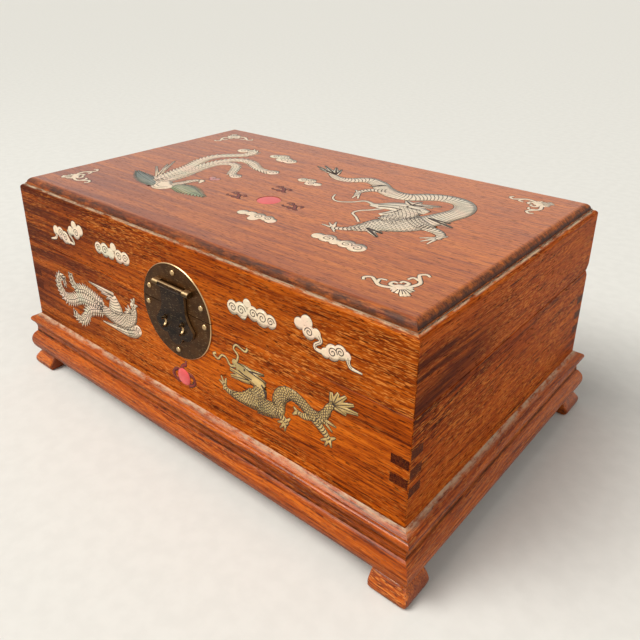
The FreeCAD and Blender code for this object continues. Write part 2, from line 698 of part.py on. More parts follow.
def top_dragon(m):
    body = ribbon([(-78, 37), (-66, 31.5), (-56, 34), (-46, 42.5), (-34, 39.5), (-24, 31.5), (-12, 26.5),
                   (0, 28.5), (10, 37), (20, 42), (32, 41.5), (40, 34), (42.5, 22), (39, 8), (35, -4),
                   (27, -16)],
                  [2.4, 3.6, 4.6, 5.2, 5.6, 6, 6.5, 6.5, 6.5, 6.5, 6.5, 6.5, 6.8, 7.6, 9, 11], m, 2)
    chest = ribbon([(35, -6), (26, -19), (16.5, -30), (11, -40), (5, -48)], [11, 13, 11, 7, 3.2], m)
    head = [ribbon([(26, 8), (12, 8.5), (2, 4.5), (-6, -0.5), (-12, -2.5)], [4, 8, 8, 4.6, 2.4], m),
            ribbon([(10, 6.5), (9, -5), (4, -15)], [6, 4, 2], m)]
    neck = ribbon([(14, 10), (17, -6), (14, -22)], [9, 8, 8], m)
    mane = fan((10, 14.5), [(2, 20.5), (12, 24.5), (27, 24.5), (24, 18.5)], 4, 1, m)
    whiskers = [
        ribbon([(-9, -1.5), (-19, 1), (-25, -6.6), (-33, -11.6), (-40, -8.6), (-44, -0.4)],
               [1.6, 1.1, 0.9, 0.8, 0.7, 0.5], m),
        ribbon([(1, 1), (-4.5, -10), (-10.5, -17.5), (-11, -24), (-5, -28.6), (2, -35)],
               [1.6, 1.1, 0.9, 0.8, 0.8, 0.8], m),
    ]
    left_leg = [ribbon([(10, -42), (3, -50), (-5, -54)], [3.6, 2.6, 1.8], m)]
    left_leg += claw((-4, -53.5), [(-13.5, -53), (-11.5, -48), (-8.6, -44.6), (0.6, -58.4)], m)
    right_leg = [ribbon([(34, -16), (46, -17), (53, -21), (55, -28)], [5, 4, 3, 1.8], m)]
    right_leg += claw((54.4, -26), [(45.6, -33), (49, -37.6), (54, -38.6), (57.6, -20)], m)
    hind_leg = [ribbon([(-20, 30), (-30, 24), (-34, 15), (-31, 6)], [4, 3, 2.2, 1.4], m)]
    hind_leg += claw((-32.6, 12), [(-39, 17), (-26, 2), (-30, 0.6)], m)
    fins = fan((32, 0), [(52.6, -6), (48, 0)], 3, 0.6, m) + fan((12, -40), [(26, -49), (25, -42)], 3, 0.6, m)
    fins += fan((-28, 40), [(-36, 30), (-38, 34)], 2.4, 0.6, m)
    tuft = fan((-74, 38), [(-96, 52), (-94, 42), (-86, 54), (-79, 52), (-100, 47)], 2.6, 0.5, m)
    return [body, chest, neck] + head + mane + whiskers + left_leg + right_leg + hind_leg + fins + tuft


def top_pearl(m):
    return [lobe(0, 0, 8.4, m, pearl_sides)]


def flame_curl(u, v, m):
    hook = ribbon([(u - 5, v + 2), (u - 1, v + 3.4), (u + 2, v), (u, v - 3), (u - 2.4, v - 1.4)],
                  [0.5, 0.9, 1.1, 1.1, 0.8], m)
    tongue = ribbon([(u + 1.6, v + 0.6), (u + 4, v - 2.6), (u + 7, v - 3.4)], [1.2, 1, 0.4], m)
    return [hook, tongue]


def top_flames(m):
    curls = []
    for u, v in ((-24, -8), (-9, 23), (22, 0)):
        curls += flame_curl(u, v, m)
    return curls


def back_left_cloud(m):
    return lobes([(-11, 2, 5.2), (-5, 5, 5.5), (1, -1, 7), (8.6, -2, 5.8)], m)


def back_cloud(m):
    return lobes([(-7.5, 1, 4.6), (-2, 2.5, 4.5), (2, -2.5, 4.6), (7.5, -1.5, 3.6)], m)


def front_cloud(m):
    return lobes([(-13, 0, 4), (-7, 1.6, 3.8), (0, 0.6, 5.5), (0, -3.8, 4), (7.6, 1.6, 4.5), (12, 0, 4)], m)


def front_right_cloud(m):
    return lobes([(-16, 0, 4.2), (-9, 0.6, 5.6), (-2, -1, 4), (5, 0.6, 5.5), (13, 0, 6)], m)


def corner_spray(m, sx, sy):
    # A lotus whose petals point to the corner, with two scrolled arms along the edges.
    petals = [(2.2, 7.6), (6.2, 9), (7.8, 7.8), (9, 6.2), (7.6, 2.2)]
    arm = [(-1, 3), (-9, 5.5), (-14, 2.5), (-18, 0), (-21, 2.5), (-19.5, 5.5)]
    leaf = [(-12, 3.6), (-13.2, -0.8), (-9.6, -2)]
    curl = [(-1, 1), (-5.6, 1.2), (-6, -2.4), (-3.4, -2.6)]

    def both(points):
        return [[(sx * u, sy * v) for u, v in points], [(sx * v, sy * u) for u, v in points]]
    faces = [lobe(0, sy * 0.4, 3.2, m)]
    faces += fan((0, 0), [(sx * u, sy * v) for u, v in petals], 1.7, 1.0, m)
    faces += [ribbon(p, [1.3, 1.2, 1.1, 1, 1, 0.7], m) for p in both(arm)]
    faces += [ribbon(p, [0.9, 0.9, 0.7], m) for p in both(leaf)]
    faces += [ribbon(p, [1.4, 1.1, 0.9, 0.8], m) for p in both(curl)]
    return faces


def front_pair(drawing, scale, x, z):
    # The inlaid piece and the pocket that takes it with its glue line.
    return tuple(to_front(inlay_prism(drawing, scale, m), x, z) for m in (0.0, glue_line))


def top_pair(drawing, u, v):
    # u and v are places in the drawing of the top.
    x, y = u * top_scale, v * top_scale
    return tuple(to_top(inlay_prism(drawing, top_scale, m), x, y) for m in (0.0, glue_line))


def case_inlays():
    # The creatures fill the two halves of the front; the pearl lies between them, below the lock.
    quarter = case_width / 4
    middle = z_case + case_height / 2
    x_pearl = lock_off_centre + pearl_right

    def place(drawing, x, lift):
        return front_pair(drawing, front_scale, x, middle + lift * front_scale)
    pearl = place(front_pearl, x_pearl, -pearl_drop)
    flames = place(front_flames, x_pearl, -pearl_drop)
    return {
        "front_phoenix": place(front_phoenix, -quarter, phoenix_lift),
        "front_dragon": place(front_dragon, quarter, dragon_lift),
        "front_pearl": pearl,
        "front_flames": (flames[0].cut(pearl[1]), flames[1]),
    }


def lid_front_inlays():
    row = z_seam + cloud_row * cloud_scale
    end = case_width / 2
    places = {
        "outer_left": (outer_left_cloud, left_cloud_in * cloud_scale - end),
        "inner_left": (inner_left_cloud, lock_off_centre - inner_cloud_out * cloud_scale),
        "inner_right": (inner_right_cloud, lock_off_centre + inner_cloud_out * cloud_scale),
        "outer_right": (outer_right_cloud, end - right_cloud_in * cloud_scale),
    }
    return {"lid_cloud_" + name: front_pair(cloud, cloud_scale, x, row)
            for name, (cloud, x) in places.items()}


def top_inlays():
    phoenix = top_pair(top_phoenix, -92.5, -14)
    left_wing = top_pair(top_phoenix_left_wing, -92.5, -14)
    right_wing = top_pair(top_phoenix_right_wing, -92.5, -14)
    inlays = {
        "top_phoenix": phoenix,
        "top_phoenix_left_wing": (left_wing[0].cut(phoenix[1]), left_wing[1]),
        "top_phoenix_right_wing": (right_wing[0].cut(phoenix[1]), right_wing[1]),
        "top_flower": top_pair(top_flower, -62.5, -19.5),
        "top_dragon": top_pair(top_dragon, 75, 12),
        "top_pearl": top_pair(top_pearl, 4, -29),
        "top_flames": top_pair(top_flames, 4, -29),
        "top_cloud_back_left": top_pair(back_left_cloud, -60, 57),
        "top_cloud_back": top_pair(back_cloud, -1.2, 22),
        "top_cloud_front": top_pair(front_cloud, 21, -58),
        "top_cloud_front_right": top_pair(front_right_cloud, 88.4, -58),
    }
    for sx, sy in corner_signs():
        name = "top_spray_" + ("front_" if sy < 0 else "back_") + ("left" if sx < 0 else "right")
        u = sx * (case_width / 2 - spray_inset) / top_scale
        v = sy * (case_depth / 2 - spray_inset) / top_scale
        inlays[name] = top_pair(lambda m, sx=sx, sy=sy: corner_spray(m, sx, sy), u, v)
    return inlays


def build():
    nodes = {}
    sides = ("front", "back", "left", "right")
    x_hinge = case_width / 2 - hinge_from_end
    hinges = {"left": -x_hinge, "right": x_hinge}
    upper_spots, lower_spots = nail_spots()
    upper_nails = [nail(*s) for s in upper_spots]
    lower_nails = [nail(*s) for s in lower_spots]
    in_case, in_lid, in_top = case_inlays(), lid_front_inlays(), top_inlays()

    for side in sides:
        nodes["case_" + side] = case_board(side)
        nodes["lid_" + side] = lid_board(side)
        nodes["plinth_" + side] = plinth_side(side)
    nodes["case_bottom"] = bottom_panel(0.0)
    for sx, sy in corner_signs():
        nodes["foot_" + ("front_" if sy < 0 else "back_") + ("left" if sx < 0 else "right")] = foot(sx, sy)

    for x in hinges.values():
        nodes["case_back"] = nodes["case_back"].cut(hinge_mortise(x, -1))
        nodes["lid_back"] = nodes["lid_back"].cut(hinge_mortise(x, 1))
    for name, x in hinges.items():
        nodes["hinge_" + name + "_case_leaf"] = hinge_leaf(x, -1)
        nodes["hinge_" + name + "_lid_leaf"] = hinge_leaf(x, 1)
        half = hinge_length / 2
        nodes["hinge_" + name + "_pin"] = rod_x(x - half, x + half, y_hinge, z_seam, hinge_pin_radius)
    for body, rise in (("case", -1), ("lid", 1)):
        nails = [hinge_nails(x, rise) for x in hinges.values()]
        nodes["hinge_nails_" + body] = Part.makeCompound(sum(nails, []))

    upper_plate, lower_plate = lock_plates()
    nodes["lock_plate_upper"] = upper_plate.cut(upper_nails)
    nodes["lock_plate_lower"] = lower_plate.cut(lower_nails + staple_holes())
    nodes["lock_nails_upper"] = Part.makeCompound(upper_nails)
    nodes["lock_nails_lower"] = Part.makeCompound(lower_nails)
    nodes["lock_staple_left"] = staple(-1)
    nodes["lock_staple_right"] = staple(1)
    nodes["lock_hasp"] = hasp()
    nodes["lock_hasp_bracket"] = hasp_bracket()
    nodes["lock_hasp_pin"] = hasp_pin()

    nodes["case_front"] = nodes["case_front"].cut(
        [pocket for piece, pocket in in_case.values()] + lower_nails + staple_holes())
    nodes["lid_front"] = nodes["lid_front"].cut([pocket for piece, pocket in in_lid.values()] + upper_nails)
    nodes["lid_top"] = lid_top().cut([pocket for piece, pocket in in_top.values()])
    for inlays in (in_case, in_lid, in_top):
        for name, (piece, pocket) in inlays.items():
            nodes["inlay_" + name] = piece
    return nodes


def main():
    os.makedirs("parts", exist_ok=True)
    nodes = build()
    for name, shape in nodes.items():
        shape.exportStep("parts/" + name + ".step")
        print(name, len(shape.Solids), shape.isValid(), round(shape.Volume, 1))


main()
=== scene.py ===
import bpy
import math
from mathutils import Euler, Matrix, Vector


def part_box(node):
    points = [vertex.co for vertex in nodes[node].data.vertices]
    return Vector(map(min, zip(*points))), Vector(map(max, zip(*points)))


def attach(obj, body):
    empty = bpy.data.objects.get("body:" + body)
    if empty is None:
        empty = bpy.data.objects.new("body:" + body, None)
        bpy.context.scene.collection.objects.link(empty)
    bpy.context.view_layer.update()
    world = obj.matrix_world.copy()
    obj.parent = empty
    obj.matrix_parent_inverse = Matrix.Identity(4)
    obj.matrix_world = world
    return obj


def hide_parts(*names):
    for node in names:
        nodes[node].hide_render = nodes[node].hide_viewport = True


# Looks of the inlaid hardwood box. Metres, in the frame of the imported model:
# the front faces -Y, the hinges are at +Y and the box stands on z = 0.
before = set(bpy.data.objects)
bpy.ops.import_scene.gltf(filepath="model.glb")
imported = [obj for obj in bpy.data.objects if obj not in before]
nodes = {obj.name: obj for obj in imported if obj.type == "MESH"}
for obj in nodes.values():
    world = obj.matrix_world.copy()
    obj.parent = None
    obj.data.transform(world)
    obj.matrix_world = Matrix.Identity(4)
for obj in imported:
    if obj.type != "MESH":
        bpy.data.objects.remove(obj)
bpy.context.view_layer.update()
mm = 0.001
mergeGap = 0.002 * mm  # points closer than this are one
print("frame loaded:", len(nodes), "nodes")


def nodeBox(name):
    low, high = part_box(name)
    return [c / mm for c in low], [c / mm for c in high]


# places read from the frame, in millimetres
boardLow, boardHigh = nodeBox("case_front")
plateLow, plateHigh = nodeBox("lock_plate_lower")
halfWidth = boardHigh[0]
halfDepth = -boardLow[1]
wall = boardHigh[1] - boardLow[1]
lidTop = nodeBox("lid_front")[1][2]
topFace = nodeBox("inlay_top_pearl")[1][2]
plateFace = plateLow[1]
lockX = (plateLow[0] + plateHigh[0]) / 2
plateRadius = (plateHigh[0] - plateLow[0]) / 2
lockZ = plateLow[2] + plateRadius


def tint(red, green, blue):
    # screen colour, 0 to 255, as the linear colour that a shader takes
    def linear(c):
        c = c / 255
        return c / 12.92 if c <= 0.04045 else ((c + 0.055) / 1.055) ** 2.4
    return (linear(red), linear(green), linear(blue), 1.0)


class Wire:
    # a shader value that can stand in a sum
    def __init__(self, finish, socket):
        self.finish = finish
        self.socket = socket

    def maths(self, operation, *values):
        return self.finish.node("ShaderNodeMath", {"operation": operation}, values)

    def __add__(self, other):
        return self.maths("ADD", self, other)

    def __radd__(self, other):
        return self.maths("ADD", other, self)

    def __sub__(self, other):
        return self.maths("SUBTRACT", self, other)

    def __rsub__(self, other):
        return self.maths("SUBTRACT", other, self)

    def __mul__(self, other):
        return self.maths("MULTIPLY", self, other)

    def __rmul__(self, other):
        return self.maths("MULTIPLY", other, self)

    def __truediv__(self, other):
        return self.maths("DIVIDE", self, other)

    def __pow__(self, other):
        return self.maths("POWER", self, other)

    def __abs__(self):
        return self.maths("ABSOLUTE", self)

    def most(self, other):
        return self.maths("MAXIMUM", self, other)

    def rise(self, low, high):
        # 0 below low, 1 above high, smooth between; high below low turns it round
        turned = high < low
        span = (high, low, 1.0, 0.0) if turned else (low, high, 0.0, 1.0)
        return self.finish.node("ShaderNodeMapRange", {"interpolation_type": "SMOOTHSTEP"}, [self, *span])


class Finish:
    # one material, or the world, and its nodes
    def __init__(self, name, kind="Material"):
        store = bpy.data.worlds if kind == "World" else bpy.data.materials
        self.material = store.new(name)
        self.material.use_nodes = True
        self.tree = self.material.node_tree
        self.tree.nodes.clear()
        self.output = self.tree.nodes.new("ShaderNodeOutput" + kind)

    def node(self, kind, settings=None, sockets=(), out=0):
        made = self.tree.nodes.new(kind)
        for name, value in (settings or {}).items():
            if name == "stops":
                self.setStops(made.color_ramp, value)
            else:
                setattr(made, name, value)
        for key, value in sockets.items() if isinstance(sockets, dict) else enumerate(sockets):
            if isinstance(value, Wire):
                self.tree.links.new(value.socket, made.inputs[key])
            else:
                made.inputs[key].default_value = value
        return Wire(self, made.outputs[out])

    def setStops(self, ramp, stops):
        while len(ramp.elements) < len(stops):
            ramp.elements.new(0.5)
        for element, (position, colour) in zip(ramp.elements, stops):
            element.position = position
            element.color = colour

    def place(self, location=(0, 0, 0), turn=0.0):
        spot = self.node("ShaderNodeTexCoord", out="Object")
        return self.node("ShaderNodeMapping", None,
                         {"Vector": spot, "Location": location, "Rotation": (0, 0, turn)})

    def axes(self, vector):
        made = self.node("ShaderNodeSeparateXYZ", None, [vector])
        return [Wire(self, s) for s in made.socket.node.outputs]

    def millimetres(self):
        spot = self.node("ShaderNodeTexCoord", out="Object")
        return [a / mm for a in self.axes(spot)]

    def facing(self):
        return self.axes(self.node("ShaderNodeTexCoord", out="Normal"))

    def stretch(self, vector, factors):
        return self.node("ShaderNodeVectorMath", {"operation": "MULTIPLY"}, [vector, factors])

    def noise(self, vector, scale=1.0, detail=2.0, rough=0.5):
        return self.node("ShaderNodeTexNoise", None, {
            "Vector": vector, "Scale": scale, "Detail": detail, "Roughness": rough})

    def cells(self, vector, scale=1.0, feature="F1"):
        return self.node("ShaderNodeTexVoronoi", {"feature": feature}, {"Vector": vector, "Scale": scale})

    def mix(self, share, first, second, blend="MIX"):
        return self.node("ShaderNodeMix", {"data_type": "RGBA", "blend_type": blend},
                         {0: share, 6: first, 7: second}, 2)

    def ramp(self, value, stops):
        return self.node("ShaderNodeValToRGB", {"stops": stops}, [value])

    def surface(self, sockets, height=None, depth=0.05):
        # height is a relief from 0 to 1, depth its size in millimetres
        if height is not None:
            sockets["Normal"] = self.node("ShaderNodeBump", None, {
                "Strength": 1.0, "Distance": depth * mm, "Height": height})
        return self.show(self.node("ShaderNodeBsdfPrincipled", None, sockets))

    def show(self, shader):
        self.tree.links.new(shader.socket, self.output.inputs["Surface"])
        return self.material


def pick(*pieces):
    # only these are selected, the first of them active
    bpy.ops.object.select_all(action="DESELECT")
    for piece in pieces:
        piece.select_set(True)
    if pieces:
        bpy.context.view_layer.objects.active = pieces[0]


def paint(name, material):
    slots = nodes[name].material_slots
    if slots:
        slots[0].material = material
    else:
        nodes[name].data.materials.append(material)


# Hardwood: bands of colour, dark streaks and pores along the grain, dark end grain, wax on the outside
woodLook = dict(
    pale=tint(204, 102, 18), middle=tint(160, 69, 7), dark=tint(90, 32, 4),
    pore=tint(50, 16, 4), fleck=tint(222, 138, 60), endGrain=tint(48, 16, 12), raw=tint(146, 78, 36),
    # the second colour on the next line is painted shade, with real grime only on the top's moulded edge; the
    # third is painted shade on the front and side boards and an even darkening on the top
    dust=tint(204, 184, 156), grime=tint(36, 16, 8), darkeningTone=tint(66, 22, 8),
    figure=0.26, streak=0.4, fibre=0.55, fleckShare=0.7, poreShare=0.75,
    rawShare=0.55, shadeAndGrimeShare=0.85, dustShare=0.8,
    rough=0.4, coat=0.02, gloss=0.03, sway=0.012, relief=0.08,
)
# how fine each part of the grain is, along it and across it
grainScales = dict(
    drift=(5, 16, 16), figure=(2.4, 30, 30), streak=(6, 210, 210), fibre=(40, 900, 900),
    pores=(190, 1500, 1500), flecks=(190, 1600, 1600), patches=(14, 30, 30), soot=(90, 240, 240),
    ends=(1100, 1100, 1100),
)


def overBoards(x, y):
    # distance outwards from the faces of the boards
    return (abs(x) - halfWidth).most(abs(y) - halfDepth)


def hardwood(name, grain, cut, dust=None, grime=None, darkening=None, **changes):
    look = dict(woodLook, **changes)
    f = Finish(name)
    turn = -math.pi / 2 if grain == "y" else 0.0
    along = f.place(cut, turn)

    def grainNoise(vector, part, *settings):
        return f.noise(f.stretch(vector, grainScales[part]), *settings)

    drift = grainNoise(along, "drift", 1, 2) - 0.5
    sway = f.node("ShaderNodeCombineXYZ", None, [0.0, drift * look["sway"], drift * look["sway"]])
    grained = f.node("ShaderNodeVectorMath", {"operation": "ADD"}, [along, sway])
    figure = grainNoise(grained, "figure", 1, 3)
    streak = grainNoise(grained, "streak", 1, 4, 0.6)
    fibre = grainNoise(grained, "fibre", 1, 2)
    pores = grainNoise(grained, "pores", 1, 1).rise(0.58, 0.67)
    flecks = grainNoise(grained, "flecks", 1.07, 1).rise(0.54, 0.65)
    patches = grainNoise(along, "patches", 1, 2).rise(0.28, 0.58)
    tone = (0.5 + (figure - 0.5) * look["figure"] + (streak - 0.5) * look["streak"]
            + (fibre - 0.5) * look["fibre"])
    colour = f.ramp(tone, [(0.36, look["dark"]), (0.49, look["middle"]), (0.64, look["pale"])])
    colour = f.mix(pores * look["poreShare"], colour, look["pore"])
    colour = f.mix(flecks * patches * look["fleckShare"], colour, look["fleck"])

    x, y, z = f.millimetres()
    normal = f.facing()
    # darker patches along the streaks: painted shade on the front and side boards, on the top an even
    # darkening towards its left and front
    if darkening:
        colour = f.mix(darkening(x, y, z) * (0.35 + 0.65 * streak.rise(0.62, 0.42)), colour, look["darkeningTone"])
    across = abs(normal[1] if grain == "y" else normal[0])
    endGrain = across.rise(0.75, 0.95)
    endTone = f.cells(f.stretch(along, grainScales["ends"])).rise(0.1, 0.6)
    colour = f.mix(endGrain * (0.97 - 0.2 * endTone), colour, look["endGrain"])
    within = (-1 * overBoards(x, y)).rise(wall - 1.0, wall - 0.2) * z.rise(lidTop + 2.0, lidTop + 1.0)
    colour = f.mix(within * look["rawShare"], colour, look["raw"])
    wax = 1 - within
    soot = grainNoise(along, "soot", 1, 4, 0.7)
    # painted shade from this mask: darker colour and less wax in the plinth's cove, on faces that turn
    # downwards, on the feet and on the top's moulded edge, where some grime is real
    if grime:
        shade = grime(x, y, z, normal)
        wax = wax * (1 - 0.9 * shade)
        colour = f.mix(shade * soot.rise(0.25, 0.65) * look["shadeAndGrimeShare"], colour, look["grime"])
    if dust:
        lint = dust(x, y, z, normal) * soot.rise(0.34, 0.64)
        colour = f.mix(lint * look["dustShare"], colour, look["dust"])
        wax = wax * (1 - lint)
    rough = look["rough"] + (fibre - 0.5) * 0.16 + pores * 0.18 + (1 - wax) * 0.24
    relief = fibre * 0.35 + (1 - pores) * 0.5 + streak * 0.15
    coat = wax * look["coat"] * normal[2].rise(-0.7, 0.5)
    return f.surface({
        "Base Color": colour, "Roughness": rough, "Coat Weight": coat, "Coat Roughness": 0.2,
        "IOR": 1.5, "Specular IOR Level": look["gloss"]}, relief, look["relief"])


# where dust, painted shade, grime and darkening begin and are full, in millimetres: out from the boards for
# the ledge, quirk, edge and rim, up from the top of the lid boards for quirkRise, else along x, y or z
dustAndShadeLook = dict(
    ledge=(4.4, 0.6), coveTop=(33.6, 31.6), coveFoot=(29.6, 30.8), quirk=(-6.0, -5.0), quirkRise=(0.9, 0.5),
    edge=(-8.4, -5.6), rim=(-1.2, -2.4), footTop=(11.4, 12.8), frontPaintedShade=(30, -190),
    topDarkX=(60, -170), topDarkY=(-20, -112), sideShadeY=(10, -95), sideShadeZ=(153, 143),
)


def ledgeDust(x, y, z, normal):
    return overBoards(x, y).rise(*dustAndShadeLook["ledge"]) * normal[2].rise(0.4, 0.8)


# painted shade: darker in the cove between the nose and the torus of the plinth and on faces that turn
# downwards
def coveShade(x, y, z, normal):
    cove = z.rise(*dustAndShadeLook["coveTop"]) * z.rise(*dustAndShadeLook["coveFoot"])
    return cove * 0.9 + normal[2].rise(0.4, -0.8) * 0.8


def quirkDust(x, y, z, normal):
    start, full = dustAndShadeLook["quirkRise"]
    return z.rise(lidTop + start, lidTop + full) * overBoards(x, y).rise(*dustAndShadeLook["quirk"])


# painted shade, with some grime, on the moulded edge of the top where it rolls down
def edgeShadeAndGrime(x, y, z, normal):
    return overBoards(x, y).rise(*dustAndShadeLook["edge"])


def rimDust(x, y, z, normal):
    return overBoards(x, y).rise(*dustAndShadeLook["rim"]) * normal[2].rise(0.4, 0.9)


# painted shade: the front boards darker towards the left
def frontPaintedShade(x, y, z):
    return x.rise(*dustAndShadeLook["frontPaintedShade"]) * 0.85


# the top panel darker towards the left and the front, on its face
def topDarkening(x, y, z):
    share = x.rise(*dustAndShadeLook["topDarkX"]) * 0.5 + y.rise(*dustAndShadeLook["topDarkY"]) * 0.4
    return share * z.rise(topFace - 4, topFace - 3)


# painted shade: the side boards of the lid darker towards the front end and lower down
def sidePaintedShade(x, y, z):
    return y.rise(*dustAndShadeLook["sideShadeY"]) * z.rise(*dustAndShadeLook["sideShadeZ"]) * 0.9


# painted shade: the feet darker on faces that turn downwards and at their top, under the plinth
def footShade(x, y, z, normal):
    return normal[2].rise(0.3, -0.4) * 0.7 + z.rise(*dustAndShadeLook["footTop"]) * 0.8


# what sets each kind of board apart from woodLook
boardLooks = dict(
    end=dict(dark=tint(66, 22, 6), middle=tint(150, 62, 12), pale=tint(186, 90, 26),
             fleckShare=0.55, coat=0.01, gloss=0.02),
    case=dict(darkening=frontPaintedShade),
    lid=dict(dark=tint(78, 27, 5), middle=tint(138, 57, 6), pale=tint(182, 88, 14), darkening=frontPaintedShade),
    plinth=dict(pale=tint(198, 98, 18), middle=tint(160, 69, 7), fleckShare=0.35, poreShare=0.45,
                rough=0.24, coat=0.34, gloss=0.06),
    top=dict(dark=tint(122, 48, 12), middle=tint(174, 86, 22), pale=tint(202, 111, 34),
             darkeningTone=tint(110, 40, 14), figure=0.2, streak=0.26, fleckShare=0.35, poreShare=0.6,
             rough=0.42, coat=0.55, gloss=0.3),
    bottom=dict(rough=0.5, coat=0.0),
    foot=dict(endGrain=tint(132, 56, 20), rough=0.3, coat=0.5, gloss=0.1),
)
corners = [(end, hand) for end in ("front", "back") for hand in ("left", "right")]


def woodFinishes():
    looks = boardLooks
    for side, grain in (("front", "x"), ("back", "x"), ("left", "y"), ("right", "y")):
        shift = 0.31 * len(side)  # each board is cut from another place in the log
        caseLook = looks["end"] if grain == "y" else looks["case"]
        lidLook = dict(looks["end"], darkening=sidePaintedShade) if grain == "y" else looks["lid"]
        paint("case_" + side, hardwood(side + "CaseWood", grain, (shift, 0.17, 0.05), **caseLook))
        paint("lid_" + side, hardwood(side + "LidWood", grain, (shift + 0.4, 0.0, 0.21), rimDust, **lidLook))
        paint("plinth_" + side, hardwood(side + "PlinthWood", grain, (shift + 0.9, 0.3, 0.4),
                                         ledgeDust, coveShade, **looks["plinth"]))
        print("wood finished:", side)
    paint("lid_top", hardwood("topPanelWood", "x", (0.1, 0.05, 0.02),
                              quirkDust, edgeShadeAndGrime, topDarkening, **looks["top"]))
    paint("case_bottom", hardwood("bottomPanelWood", "x", (0.7, 0.6, 0.3), **looks["bottom"]))
    for end, hand in corners:
        cut = (len(hand) * 0.2, len(end) * 0.3, 0.0)
        paint("foot_" + end + "_" + hand, hardwood(end + hand.title() + "FootWood", "x", cut,
                                                   None, footShade, **looks["foot"]))


# Brass: patina over metal that is bright where hands and edges rub
brassLook = dict(
    bright=tint(216, 184, 138), aged=tint(112, 84, 42), patina=tint(48, 34, 12), black=tint(20, 12, 8),
)


def brass(name, cover, rubbed, rough=0.38, soot=0.7):
    # cover is the colour of the patina, rubbed a function that gives 1 where the metal is bright,
    # the last argument the share of black in the patina
    f = Finish(name)
    spot = f.place()
    cloud = f.noise(spot, 120, 4, 0.6)
    spots = f.noise(spot, 900, 2)
    scratch = f.noise(f.stretch(spot, (300, 2600, 2600)), 1, 1).rise(0.62, 0.72)
    colour = f.mix(cloud.rise(0.35, 0.65) * soot, cover, brassLook["black"])
    colour = f.mix(spots.rise(0.55, 0.75) * 0.4, colour, brassLook["patina"])
    x, y, z = f.millimetres()
    worn = rubbed(x, y, z, f.facing())
    worn = worn * (0.75 + 0.25 * cloud.rise(0.3, 0.6))
    bright = worn.most(scratch * 0.25)
    colour = f.mix(bright, colour, brassLook["bright"])
    rough = rough + 0.2 * cloud - 0.16 * bright
    return f.surface({
        "Base Color": colour, "Metallic": 0.95 + 0.05 * bright, "Roughness": rough},
        cloud * 0.6 + spots * 0.4, 0.05)


def plateRub(x, y, z, normal):
    across, up = x - lockX, z - lockZ
    radius = (across * across + up * up) ** 0.5
    return radius.rise(plateRadius - 0.55, plateRadius - 0.25)


def edgeRub(x, y, z, normal):
    return abs(normal[1]).rise(0.75, 0.4)


def knuckleRub(x, y, z, normal):
    return normal[2].rise(0.2, 0.8) * 0.8


def allRub(x, y, z, normal):
    return normal[2].rise(-0.8, 0.6) * 0.5 + 0.35


def metalFinishes():
    plate = brass("plateBrass", tint(80, 50, 20), plateRub, 0.4, 0.4)
    for half in ("upper", "lower"):
        paint("lock_plate_" + half, plate)
    paint("lock_hasp", brass("haspBrass", tint(48, 30, 16), edgeRub, 0.36, 0.9))
    bar = brass("barBrass", brassLook["aged"], knuckleRub)
    paint("lock_hasp_pin", bar)
    paint("lock_hasp_bracket", bar)
    worn = brass("wornBrass", tint(150, 118, 72), allRub, 0.26)
    for half in ("upper", "lower"):
        paint("lock_nails_" + half, worn)
    for hand in ("left", "right"):
        paint("lock_staple_" + hand, worn)
        for part in ("case_leaf", "lid_leaf", "pin"):
            paint("hinge_" + hand + "_" + part, bar)
    for half in ("case", "lid"):
        paint("hinge_nails_" + half, worn)
    print("metal finished")
    return worn


# Shell: cream mother-of-pearl with a faint play of pink and green
shellLook = dict(pit=tint(120, 92, 62), mastic=tint(38, 24, 18), masticWorn=tint(66, 44, 30))


def shell(name, cream, pink, green, rough=0.22, sheen=0.4):
    f = Finish(name)
    spot = f.place()
    layer = f.noise(f.stretch(spot, (90, 150, 130)), 1, 3)
    lustre = f.noise(f.stretch(spot, (40, 60, 50)), 1, 2)
    pits = f.noise(spot, 1400, 1).rise(0.66, 0.76)
    colour = f.mix(layer.rise(0.45, 0.7), cream, pink)
    colour = f.mix(lustre.rise(0.5, 0.75) * 0.8, colour, green)
    colour = f.mix(pits * 0.4, colour, shellLook["pit"])
    return f.surface({
        "Base Color": colour, "Roughness": rough + 0.14 * layer, "Coat Weight": sheen,
        "Coat Roughness": 0.1, "Specular IOR Level": 0.1 + sheen}, layer * 0.5 + (1 - pits) * 0.5, 0.03)


def mastic(name):
    # black lacquer in the bed and in the engraved lines
    f = Finish(name)
    spot = f.place()
    grit = f.noise(spot, 700, 3)
    colour = f.mix(grit.rise(0.35, 0.7), shellLook["mastic"], shellLook["masticWorn"])
    return f.surface({"Base Color": colour, "Roughness": 0.5 + 0.2 * grit}, grit, 0.02)


inlayPaints = {
    "cream": shell("creamShell", tint(232, 208, 176), tint(238, 204, 178), tint(214, 208, 178)),
    "gold": shell("goldShell", tint(188, 154, 88), tint(218, 184, 112), tint(140, 122, 62)),
    "grey": shell("greyShell", tint(226, 206, 178), tint(230, 202, 176), tint(200, 192, 168)),
    "green": shell("greenShell", tint(138, 146, 104), tint(176, 168, 128), tint(92, 116, 78)),
    "teal": shell("tealShell", tint(88, 104, 94), tint(128, 130, 112), tint(58, 78, 74)),
    "rose": shell("roseShell", tint(190, 112, 108), tint(204, 130, 122), tint(170, 96, 96)),
    "plum": shell("plumShell", tint(116, 52, 46), tint(138, 68, 58), tint(92, 40, 38), 0.4, 0.08),
    "ruby": shell("rubyShell", tint(128, 42, 34), tint(152, 62, 48), tint(100, 32, 28), 0.4, 0.04),
    "coral": shell("coralInlay", tint(214, 62, 66), tint(224, 80, 80), tint(196, 50, 56), 0.26),
    "mastic": mastic("blackMastic"),
}


def inlayFinishes():
    for name in nodes:
        if name.startswith("inlay_"):
            paint(name, inlayPaints["coral" if name.endswith("pearl") else "cream"])
    print("inlay finished")


